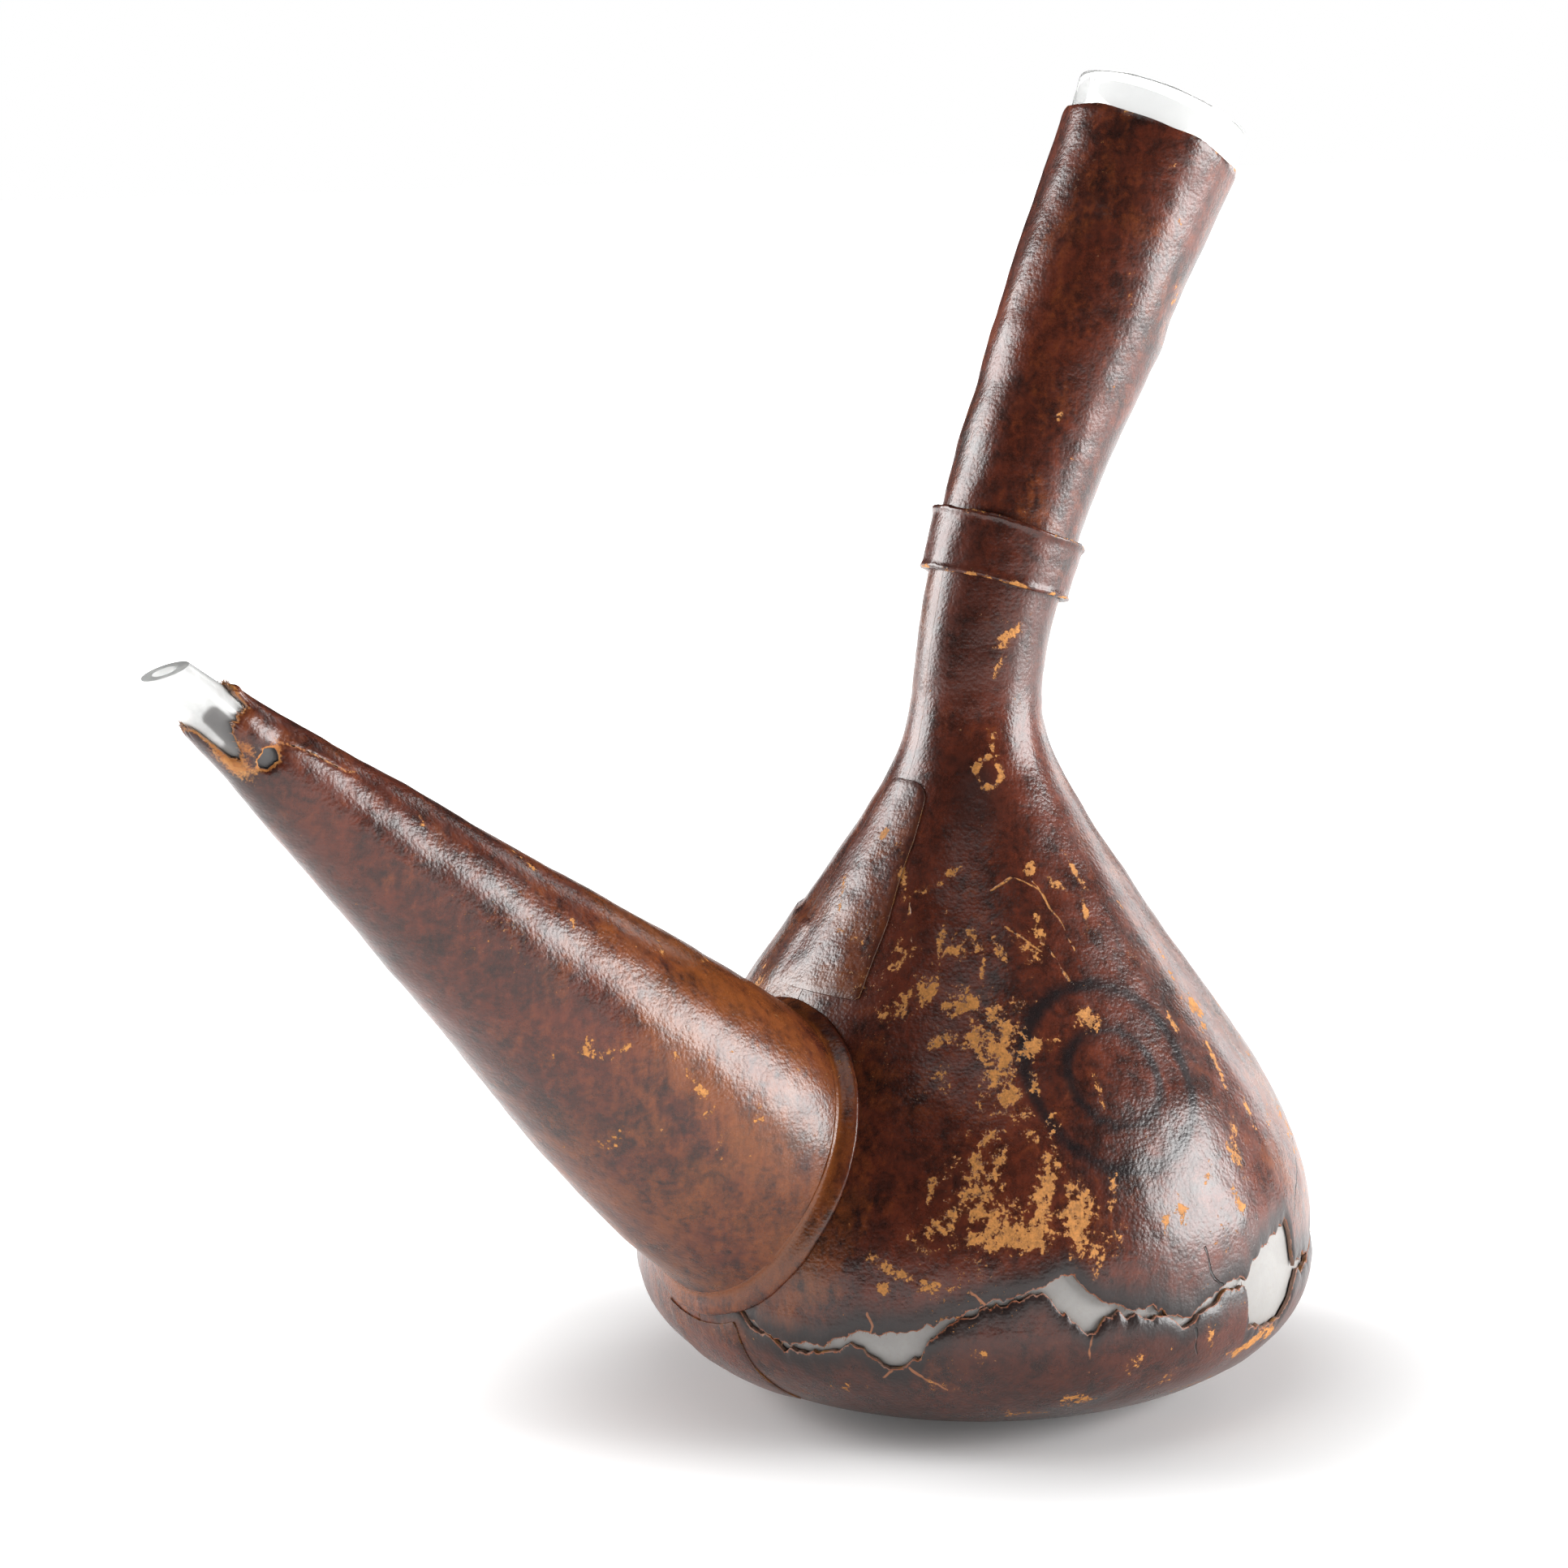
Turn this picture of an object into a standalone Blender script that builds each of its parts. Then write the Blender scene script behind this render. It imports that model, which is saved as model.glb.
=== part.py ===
"""Leather-covered glass porron: a blown wine pitcher with a conical body,
a leaning neck and a long drinking spout, covered in glued leather.

Sizes are millimetres in the constants and metres in the scene. The body's
axis is Z, the spout points to -X, the neck leans to +X and the pitcher
stands on Z = 0. Profiles give a radius at each distance along a centre line
that starts at the underside of the glass.
"""

import math

import bmesh
import bpy
from mathutils import Matrix, Vector

MM = 0.001

# Glass vessel
BASE_FLAT_RADIUS = 28.0
BODY_RADIUS = 70.9
WIDEST_HEIGHT = 26.4
SHOULDER_HEIGHT = 142.4
NECK_RADIUS = 11.8
NECK_LENGTH = 135.0
MOUTH_RADIUS = 19.0
NECK_LEAN = 27.5
NECK_BEND_LENGTH = 28.0
GLASS_WALL = 2.5

# Spout, measured back from its tip
SPOUT_RISE = 40.3
SPOUT_TIP_X = -192.2
SPOUT_TIP_HEIGHT = 168.6
SPOUT_LENGTH = 197.0
SPOUT_TIP_RADIUS = 4.1
SPOUT_NOSE_LENGTH = 24.0
SPOUT_NOSE_RADIUS = 6.4
SPOUT_ROOT_RADIUS = 28.2
SPOUT_WALL = 2.0
TIP_CUT_TILT = 17.5

# Leather
LEATHER = 1.3
GLUE_GAP = 0.3
SEAM_GAP = 0.4
TEAR_HEIGHT = 29.0
TEAR_GAP = 3.0
SKIRT_START = -0.15
BASE_DISC_GAP = 0.5
NECK_BARE_LENGTH = 8.0
SPOUT_BARE_LENGTH = 13.0

# Strips and rings laid over the seams
STRIP = 1.0
GORES_BELOW_SHOULDER = 13.0
GORE_LENGTH = 41.4
GORE_HALF_BOTTOM = 11.7
GORE_HALF_TOP = 6.6
BACK_GORE_LENGTH = 26.0
BACK_GORE_HALF_BOTTOM = 13.0
BACK_GORE_HALF_TOP = 8.0
LOWER_STRIP_START = 1.4
LOWER_STRIP_LENGTH = 31.0
LOWER_STRIP_HALF = 12.3
BAND_ABOVE_SHOULDER = 26.6
BAND_HEIGHT = 12.5
BAND_THICKNESS = 1.5
COLLAR_WIDTH = 3.8
COLLAR_THICKNESS = 2.2

# How the body narrows to the neck: (share of the way up, share of the
# change in radius still to come)
BODY_SHAPE = ((0, 1), (0.15, 0.965), (0.32, 0.82), (0.49, 0.588), (0.66, 0.358),
              (0.84, 0.128), (0.93, 0.04), (1, 0))
# How the neck widens to the mouth: (share of the way, share of the change)
NECK_SHAPE = ((0, 0), (0.137, 0.053), (0.389, 0.293), (0.484, 0.356), (0.579, 0.507),
              (0.716, 0.658), (0.85, 0.755), (0.944, 0.895), (1, 1))
# How the spout widens from its nose to its root, in the same way
SPOUT_SHAPE = ((0, 0), (0.21, 0.26), (0.44, 0.55), (0.61, 0.79), (0.73, 0.92),
               (0.82, 0.98), (1, 1))

SIDES = 32
SPOUT_SIDES = 24
BASE_STEPS = 5
BODY_STEPS = 10
NECK_STEPS = 11
SPOUT_STEPS = 7
OVERRUN = 12.0
TIP_OVERRUN = 6.0
ROOT_TAPER = 15.0
POINT_GAP = 0.4
BLOCK = 400.0

PARTS_NAME = "leather_covered_porron"
CUTTERS_NAME = "porron_cutters"


def clear_scene():
    for item in list(bpy.data.objects):
        bpy.data.objects.remove(item, do_unlink=True)


def new_collection(name):
    group = bpy.data.collections.new(name)
    bpy.context.scene.collection.children.link(group)
    return group


def new_material(name, colour, roughness, transmission=0.0):
    material = bpy.data.materials.new(name)
    material.use_nodes = True
    shader = material.node_tree.nodes["Principled BSDF"]
    shader.inputs["Base Color"].default_value = (*colour, 1.0)
    shader.inputs["Roughness"].default_value = roughness
    shader.inputs["Metallic"].default_value = 0.0
    shader.inputs["Transmission Weight"].default_value = transmission
    return material


def smooth_value(points, where):
    """Read a smooth curve through (place, value) points."""
    places = [place for place, _ in points]
    values = [value for _, value in points]
    last = len(points) - 1
    slopes = []
    for index in range(last + 1):
        before = max(index - 1, 0)
        after = min(index + 1, last)
        slopes.append((values[after] - values[before]) / (places[after] - places[before]))
    index = 0
    while index < last - 1 and where > places[index + 1]:
        index += 1
    span = places[index + 1] - places[index]
    t = (where - places[index]) / span
    return ((2 * t ** 3 - 3 * t ** 2 + 1) * values[index]
            + (t ** 3 - 2 * t ** 2 + t) * span * slopes[index]
            + (3 * t ** 2 - 2 * t ** 3) * values[index + 1]
            + (t ** 3 - t ** 2) * span * slopes[index + 1])


def glass_profile():
    """Outer profile of the body and neck, from the base up to the mouth."""
    profile = []
    for step in range(BASE_STEPS):
        angle = math.pi / 2 * step / BASE_STEPS
        radius = BASE_FLAT_RADIUS + (BODY_RADIUS - BASE_FLAT_RADIUS) * math.sin(angle)
        profile.append((WIDEST_HEIGHT * (1 - math.cos(angle)), radius))
    for step in range(BODY_STEPS):
        share = step / BODY_STEPS
        place = WIDEST_HEIGHT + (SHOULDER_HEIGHT - WIDEST_HEIGHT) * share
        radius = NECK_RADIUS + (BODY_RADIUS - NECK_RADIUS) * smooth_value(BODY_SHAPE, share)
        profile.append((place, radius))
    for step in range(NECK_STEPS + 1):
        share = step / NECK_STEPS
        place = SHOULDER_HEIGHT + NECK_LENGTH * share
        radius = NECK_RADIUS + (MOUTH_RADIUS - NECK_RADIUS) * smooth_value(NECK_SHAPE, share)
        profile.append((place, radius))
    return profile


def spout_profile():
    """Outer profile of the glass spout, to just past its tip. It starts with a
    taper inside the body, which keeps the root off the body's underside."""
    nose = SPOUT_LENGTH - SPOUT_NOSE_LENGTH
    profile = [(-ROOT_TAPER, SPOUT_ROOT_RADIUS - ROOT_TAPER)]
    for step in range(SPOUT_STEPS + 1):
        share = step / SPOUT_STEPS
        growth = smooth_value(SPOUT_SHAPE, 1 - share)
        radius = SPOUT_NOSE_RADIUS + (SPOUT_ROOT_RADIUS - SPOUT_NOSE_RADIUS) * growth
        profile.append((nose * share, radius))
    taper = (SPOUT_NOSE_RADIUS - SPOUT_TIP_RADIUS) / SPOUT_NOSE_LENGTH
    profile.append((SPOUT_LENGTH + TIP_OVERRUN, SPOUT_TIP_RADIUS - taper * TIP_OVERRUN))
    return profile


def offset_profile(profile, distance):
    """Move a profile out (or, below zero, in) square to its own surface."""
    moved = []
    last = len(profile) - 1
    for index, (place, radius) in enumerate(profile):
        before = profile[max(index - 1, 0)]
        after = profile[min(index + 1, last)]
        along = after[0] - before[0]
        outward = after[1] - before[1]
        length = math.hypot(along, outward)
        if index == 0 and outward > along:
            along = 0.0
            length = outward
        shift = 0.0 if index == last else distance * outward / length
        moved.append((place - shift, radius + distance * along / length))
    return moved


def radius_at(profile, place):
    for (start, first), (end, second) in zip(profile[:-1], profile[1:]):
        if start <= place <= end:
            return first + (second - first) * (place - start) / (end - start)
    return profile[-1][1]


def slice_profile(profile, start, end):
    """The stretch of a profile between two places. In the curved neck, a point
    just inside an end sets that end square to the centre line."""
    rims = [start, end]
    if start > SHOULDER_HEIGHT:
        rims.insert(1, start + POINT_GAP)
    if end > SHOULDER_HEIGHT:
        rims.insert(-1, end - POINT_GAP)
    middle = len(rims) // 2
    low = rims[middle - 1] + POINT_GAP
    high = rims[middle] - POINT_GAP
    places = [point[0] for point in profile if low < point[0] < high]
    places = rims[:middle] + places + rims[middle:]
    return [(place, radius_at(profile, place)) for place in places]


def body_axis(place):
    """Point on the centre line of body and neck, in millimetres."""
    height = place + LEATHER + GLUE_GAP
    if place <= SHOULDER_HEIGHT:
        return Vector((0.0, 0.0, height))
    point = Vector((0.0, 0.0, SHOULDER_HEIGHT + LEATHER + GLUE_GAP))
    steps = 60
    length = (place - SHOULDER_HEIGHT) / steps
    for step in range(steps):
        run = (step + 0.5) * length
        lean = math.radians(NECK_LEAN) * (1 - math.exp(-run / NECK_BEND_LENGTH))
        point += Vector((math.sin(lean), 0.0, math.cos(lean))) * length
    return point


def spout_axis(place):
    """Point on the spout's centre line, from the root inside the body."""
    rise = math.radians(SPOUT_RISE)
    tip = Vector((SPOUT_TIP_X, 0.0, SPOUT_TIP_HEIGHT))
    direction = Vector((-math.cos(rise), 0.0, math.sin(rise)))
    return tip + direction * (place - SPOUT_LENGTH)


def sweep(name, group, profile, axis, sides, capped):
    """Sweep round sections of a profile along a centre line."""
    curve = bpy.data.curves.new(name + "_line", "CURVE")
    curve.dimensions = "3D"
    curve.bevel_depth = MM
    curve.bevel_resolution = sides // 2 - 2
    curve.use_fill_caps = capped
    spline = curve.splines.new("POLY")
    spline.points.add(len(profile) - 1)
    for point, (place, radius) in zip(spline.points, profile):
        point.co = (*(axis(place) * MM), 1.0)
        point.radius = radius
    line = bpy.data.objects.new(name + "_line", curve)
    group.objects.link(line)
    graph = bpy.context.evaluated_depsgraph_get()
    mesh = bpy.data.meshes.new_from_object(line.evaluated_get(graph))
    mesh.name = name
    bpy.data.objects.remove(line, do_unlink=True)
    shape = bmesh.new()
    shape.from_mesh(mesh)
    bmesh.ops.remove_doubles(shape, verts=shape.verts, dist=0.00001)
    bmesh.ops.recalc_face_normals(shape, faces=shape.faces)
    shape.to_mesh(mesh)
    shape.free()
    mesh.shade_smooth()
    solid = bpy.data.objects.new(name, mesh)
    group.objects.link(solid)
    return solid


def as_cutter(solid):
    solid.hide_render = True
    solid.display_type = "WIRE"
    return solid


def block(name, low, high, top_half=None):
    """A box from corner to corner; top_half narrows it in Y towards its top."""
    mesh = bpy.data.meshes.new(name)
    shape = bmesh.new()
    bmesh.ops.create_cube(shape, size=1.0)
    size = Vector(high) - Vector(low)
    middle = (Vector(high) + Vector(low)) / 2
    for vert in shape.verts:
        vert.co = Vector((vert.co.x * size.x, vert.co.y * size.y, vert.co.z * size.z)) + middle
        if top_half is not None and vert.co.z > middle.z:
            vert.co.y = math.copysign(top_half, vert.co.y)
    bmesh.ops.scale(shape, vec=(MM, MM, MM), verts=shape.verts)
    shape.to_mesh(mesh)
    shape.free()
    solid = bpy.data.objects.new(name, mesh)
    cutters.objects.link(solid)
    return as_cutter(solid)


def add_boolean(solid, cutter, operation):
    modifier = solid.modifiers.new(operation.lower() + "_" + cutter.name, "BOOLEAN")
    modifier.solver = "EXACT"
    modifier.operation = operation
    modifier.object = cutter


def finish(solid, material):
    solid.data.materials.clear()
    solid.data.materials.append(material)
    return solid


def body_sheet(name, lift, thickness, start, end):
    """Leather wrapped round the body or neck, lifted off the glass."""
    profile = slice_profile(offset_profile(glass_profile(), lift), start, end)
    sheet = sweep(name, parts, profile, body_axis, SIDES, False)
    wall = sheet.modifiers.new("leather_thickness", "SOLIDIFY")
    wall.thickness = thickness * MM
    wall.offset = 1.0
    wall.use_even_offset = True
    return sheet


def spout_solid(name, lift):
    profile = offset_profile(spout_profile(), lift)
    return as_cutter(sweep(name, cutters, profile, spout_axis, SPOUT_SIDES, True))


def body_solid(name, lift):
    profile = offset_profile(glass_profile(), lift)
    return as_cutter(sweep(name, cutters, profile, body_axis, SIDES, True))


def make_glass(material):
    outline = glass_profile()
    vessel = sweep("glass_vessel", parts, outline, body_axis, SIDES, True)
    bore = offset_profile(outline, -GLASS_WALL)
    bore.append((bore[-1][0] + OVERRUN, bore[-1][1]))
    body_bore = as_cutter(sweep("body_bore", cutters, bore, body_axis, SIDES, True))
    spout = spout_solid("spout_outside", 0.0)
    trim = block("tip_trim", (-BLOCK / 2, -BLOCK / 2, 0.0), (BLOCK / 4, BLOCK / 2, BLOCK / 2))
    tilt = Matrix.Rotation(math.radians(-TIP_CUT_TILT), 4, "Y")
    trim.matrix_world = Matrix.Translation(spout_axis(SPOUT_LENGTH) * MM) @ tilt
    add_boolean(spout, trim, "DIFFERENCE")
    add_boolean(vessel, spout, "UNION")
    add_boolean(vessel, body_bore, "DIFFERENCE")
    add_boolean(vessel, spout_solid("spout_bore", -SPOUT_WALL), "DIFFERENCE")
    return finish(vessel, material)


def make_base_disc(material):
    mesh = bpy.data.meshes.new("base_disc")
    shape = bmesh.new()
    radius = (BASE_FLAT_RADIUS - BASE_DISC_GAP) * MM
    bmesh.ops.create_cone(shape, cap_ends=True, segments=SIDES, radius1=radius,
                          radius2=radius, depth=LEATHER * MM)
    bmesh.ops.translate(shape, verts=shape.verts, vec=(0.0, 0.0, LEATHER / 2 * MM))
    shape.to_mesh(mesh)
    shape.free()
    disc = bpy.data.objects.new("base_disc", mesh)
    parts.objects.link(disc)
    return finish(disc, material)


def make_body_leather(material, spout_hole):
    """Two panels that meet on the plane of the spout, and the torn-off skirt."""
    band_middle = band_start + BAND_HEIGHT / 2 - SEAM_GAP / 2
    tear = TEAR_HEIGHT - LEATHER - GLUE_GAP
    front_side = block("front_side", (-BLOCK, -BLOCK, -BLOCK), (BLOCK, -SEAM_GAP / 2, BLOCK))
    back_side = block("back_side", (-BLOCK, SEAM_GAP / 2, -BLOCK), (BLOCK, BLOCK, BLOCK))
    pieces = (("body_panel_front", tear + TEAR_GAP / 2, band_middle, front_side),
              ("base_skirt_front", SKIRT_START, tear - TEAR_GAP / 2, front_side),
              ("body_panel_back", SKIRT_START, band_middle, back_side))
    for name, start, end, side in pieces:
        panel = body_sheet(name, GLUE_GAP, LEATHER, start, end)
        add_boolean(panel, side, "INTERSECT")
        add_boolean(panel, spout_hole, "DIFFERENCE")
        finish(panel, material)


def make_neck_leather(material):
    start = band_start + BAND_HEIGHT / 2 + SEAM_GAP / 2
    end = SHOULDER_HEIGHT + NECK_LENGTH - NECK_BARE_LENGTH
    finish(body_sheet("neck_sleeve", GLUE_GAP, LEATHER, start, end), material)
    lift = LEATHER + 2 * GLUE_GAP
    band = body_sheet("neck_band", lift, BAND_THICKNESS, band_start, band_start + BAND_HEIGHT)
    finish(band, material)


def make_strips(material, collar_hole):
    """Strips glued over the seams on the spout side and on the back."""
    lift = LEATHER + 2 * GLUE_GAP
    rise = LEATHER + GLUE_GAP
    gore_top = SHOULDER_HEIGHT - GORES_BELOW_SHOULDER
    strip_top = LOWER_STRIP_START + LOWER_STRIP_LENGTH
    spout_side = (-BLOCK, -1.0)
    back_side = (1.0, BLOCK)
    strips = (("spout_side_gore", gore_top, GORE_LENGTH, spout_side,
               GORE_HALF_BOTTOM, GORE_HALF_TOP),
              ("back_gore", gore_top, BACK_GORE_LENGTH, back_side,
               BACK_GORE_HALF_BOTTOM, BACK_GORE_HALF_TOP),
              ("spout_lower_strip", strip_top, LOWER_STRIP_LENGTH, spout_side,
               LOWER_STRIP_HALF, LOWER_STRIP_HALF))
    for name, top, length, side, half_bottom, half_top in strips:
        strip = body_sheet(name, lift, STRIP, top - length, top)
        outline = block(name + "_outline", (side[0], -half_bottom, top - length + rise - OVERRUN),
                        (side[1], half_bottom, top + rise + OVERRUN), half_top)
        add_boolean(strip, outline, "INTERSECT")
        if side is spout_side:
            add_boolean(strip, collar_hole, "DIFFERENCE")
        finish(strip, material)


def make_spout_leather(material, spout_hole, collar_edge):
    """The tapered sleeve on the spout and the welt round its root."""
    end = SPOUT_LENGTH - SPOUT_BARE_LENGTH
    profile = slice_profile(offset_profile(spout_profile(), GLUE_GAP), 0.0, end)
    sleeve = sweep("spout_sleeve", parts, profile, spout_axis, SPOUT_SIDES, False)
    wall = sleeve.modifiers.new("leather_thickness", "SOLIDIFY")
    wall.thickness = LEATHER * MM
    wall.offset = 1.0
    wall.use_even_offset = True
    add_boolean(sleeve, body_solid("body_under_sleeve", GLUE_GAP), "DIFFERENCE")
    finish(sleeve, material)
    lift = LEATHER + 2 * GLUE_GAP
    collar = body_sheet("spout_collar", lift, COLLAR_THICKNESS, 8.0, SHOULDER_HEIGHT)
    spout_half = block("spout_half", (-BLOCK, -BLOCK, -BLOCK), (-1.0, BLOCK, BLOCK))
    add_boolean(collar, spout_half, "INTERSECT")
    add_boolean(collar, collar_edge, "INTERSECT")
    add_boolean(collar, spout_hole, "DIFFERENCE")
    finish(collar, material)


clear_scene()
parts = new_collection(PARTS_NAME)
cutters = new_collection(CUTTERS_NAME)

clear_glass = new_material("clear_glass", (0.86, 0.88, 0.87), 0.05, 0.9)
brown_leather = new_material("brown_leather", (0.07, 0.022, 0.012), 0.35)

band_start = SHOULDER_HEIGHT + BAND_ABOVE_SHOULDER
sleeve_outside = LEATHER + 2 * GLUE_GAP
hole_cutter = spout_solid("spout_hole", sleeve_outside)
collar_outline = spout_solid("collar_outline", sleeve_outside + COLLAR_WIDTH)
collar_clearance = spout_solid("collar_clearance", sleeve_outside + COLLAR_WIDTH + GLUE_GAP)

make_glass(clear_glass)
make_base_disc(brown_leather)
make_body_leather(brown_leather, hole_cutter)
make_neck_leather(brown_leather)
make_strips(brown_leather, collar_clearance)
make_spout_leather(brown_leather, hole_cutter, collar_outline)
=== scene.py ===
import math
from functools import reduce

import bpy
import bmesh
import numpy as np
from mathutils import Matrix, Vector, noise


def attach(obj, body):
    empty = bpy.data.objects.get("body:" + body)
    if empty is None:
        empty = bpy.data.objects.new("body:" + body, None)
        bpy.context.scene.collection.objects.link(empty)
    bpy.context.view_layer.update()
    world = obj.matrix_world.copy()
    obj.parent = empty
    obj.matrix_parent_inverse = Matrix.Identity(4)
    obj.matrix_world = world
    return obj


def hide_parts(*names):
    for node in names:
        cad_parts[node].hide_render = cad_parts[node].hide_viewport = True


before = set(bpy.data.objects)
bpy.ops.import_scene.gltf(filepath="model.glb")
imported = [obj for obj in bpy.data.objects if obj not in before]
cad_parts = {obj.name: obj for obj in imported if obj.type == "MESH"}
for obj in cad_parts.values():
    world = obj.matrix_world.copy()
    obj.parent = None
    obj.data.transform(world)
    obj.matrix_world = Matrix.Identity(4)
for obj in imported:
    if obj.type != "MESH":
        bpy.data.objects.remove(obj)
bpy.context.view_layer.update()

bl_info = {
    "name": "Leather-covered Glass Porron",
    "version": (1, 0, 0),
    "blender": (4, 5, 0),
    "location": "3D View > Sidebar > Porron",
    "description": "A blown glass wine porron covered in worn, glazed brown leather",
    "category": "Add Mesh",
}

MM = 0.001

# Glass, in millimetres, as in the solid model
BASE_FLAT_RADIUS = 28.0
BODY_RADIUS = 70.9
WIDEST_HEIGHT = 26.4
SHOULDER_HEIGHT = 142.4
NECK_RADIUS = 11.8
NECK_LENGTH = 135.0
MOUTH_RADIUS = 19.0
NECK_LEAN = 27.5
NECK_BEND_LENGTH = 28.0
BEND_EASE = 12.0
SHOULDER_EASE = 7.0
SPOUT_RISE = 40.3
SPOUT_TIP = Vector((-192.2, 0.0, 168.6))
SPOUT_LENGTH = 197.0
SPOUT_TIP_RADIUS = 4.1
SPOUT_NOSE_LENGTH = 24.0
SPOUT_NOSE_RADIUS = 6.4
SPOUT_ROOT_RADIUS = 28.2
SPOUT_WALL = 2.0
ROOT_TAPER = 15.0
TIP_CUT_TILT = 17.5
BAND_START = 169.0
BAND_HEIGHT = 12.5
NECK_BARE_LENGTH = 8.0
LEATHER = 1.3
GLUE_GAP = 0.3
GLASS_BASE = LEATHER + GLUE_GAP
SEAM_GAP = 0.4
# Nearer to the spout's tip than this, nothing belongs to the body
SPOUT_FREE = 60.0
BODY_SHAPE = ((0, 1), (0.15, 0.965), (0.32, 0.82), (0.49, 0.588), (0.66, 0.358),
              (0.84, 0.128), (0.93, 0.04), (1, 0))
NECK_SHAPE = ((0, 0), (0.137, 0.053), (0.389, 0.293), (0.484, 0.356), (0.579, 0.507),
              (0.716, 0.658), (0.85, 0.755), (0.944, 0.895), (1, 1))
SPOUT_SHAPE = ((0, 0), (0.21, 0.26), (0.44, 0.55), (0.61, 0.79), (0.73, 0.92),
               (0.82, 0.98), (1, 1))

# The two edges of the tear, as (degrees round the body, height in mm)
UPPER_EDGE = ((-181, 31), (-174, 30.5), (-170.4, 29.4), (-165.6, 25.3), (-161, 23), (-154, 23.5),
              (-147, 27.4), (-142, 28.2), (-137, 29.4), (-133, 31), (-129.6, 32.9), (-126, 34.7),
              (-122, 36), (-117, 37.4), (-115, 39.2), (-112, 39.6), (-109, 35.4), (-104.5, 33),
              (-103, 32.2), (-95.5, 30.1), (-91, 27.4), (-89, 29.8), (-82.7, 33.4), (-77, 33),
              (-75.5, 36.4), (-68, 39), (-62.5, 41.5), (-60.8, 38), (-59.8, 31), (-50, 30.6),
              (-40, 33), (-25, 31), (-12, 30.5), (1, 30))
LOWER_EDGE = ((-181, 29.6), (-174, 29), (-170.4, 28.6), (-165.6, 24.2), (-161, 21.6),
              (-154, 22.2), (-147.4, 25), (-145.8, 22.8), (-143.2, 21.2), (-140.4, 20.9),
              (-138.6, 22.3), (-137, 23.2), (-135.4, 27.6), (-133, 30), (-129.6, 31.9),
              (-126, 33.8), (-122, 34.9), (-117, 36.2), (-114, 32.8), (-108.7, 27.6),
              (-106.5, 31), (-104.5, 32), (-103, 31.2), (-95.5, 29), (-91, 26), (-89, 28.4),
              (-82.7, 32), (-77.6, 31.2), (-76.8, 22.5), (-70, 20), (-63, 19.6), (-61, 24),
              (-59.8, 28.8), (-50, 29.2), (-40, 31.8), (-25, 29.6), (-12, 29), (1, 28.6))

# The torn end of the spout's leather, as (degrees about its axis, distance from
# the tip), and the split behind it, as (distance from the tip, degrees)
SPOUT_EDGE = ((-180, 10), (-166, 10.6), (-156, 12.4), (-150, 16), (-145, 19.4), (-134, 20.8),
              (-124, 19.8), (-116, 17.6), (-108, 16), (-99, 14.9), (-78, 14.9), (-62, 15.4),
              (-48, 16), (-42, 12.4), (-34, 11.6), (-21, 11.8), (20, 12), (60, 11.6),
              (120, 11), (180, 10))
SPOUT_SPLIT = ((24.4, -74), (28, -66), (31.2, -62), (35.6, -59), (39.6, -56), (43.2, -42))

# The hole near the spout's tip: degrees, distance from the tip, half width
# and half length, and the spout's radius there and at the split
SPOUT_HOLE = (-101.0, 24.7, 3.1, 1.35)
HOLE_RADIUS = 7.6
SPLIT_RADIUS = 8.5

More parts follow.
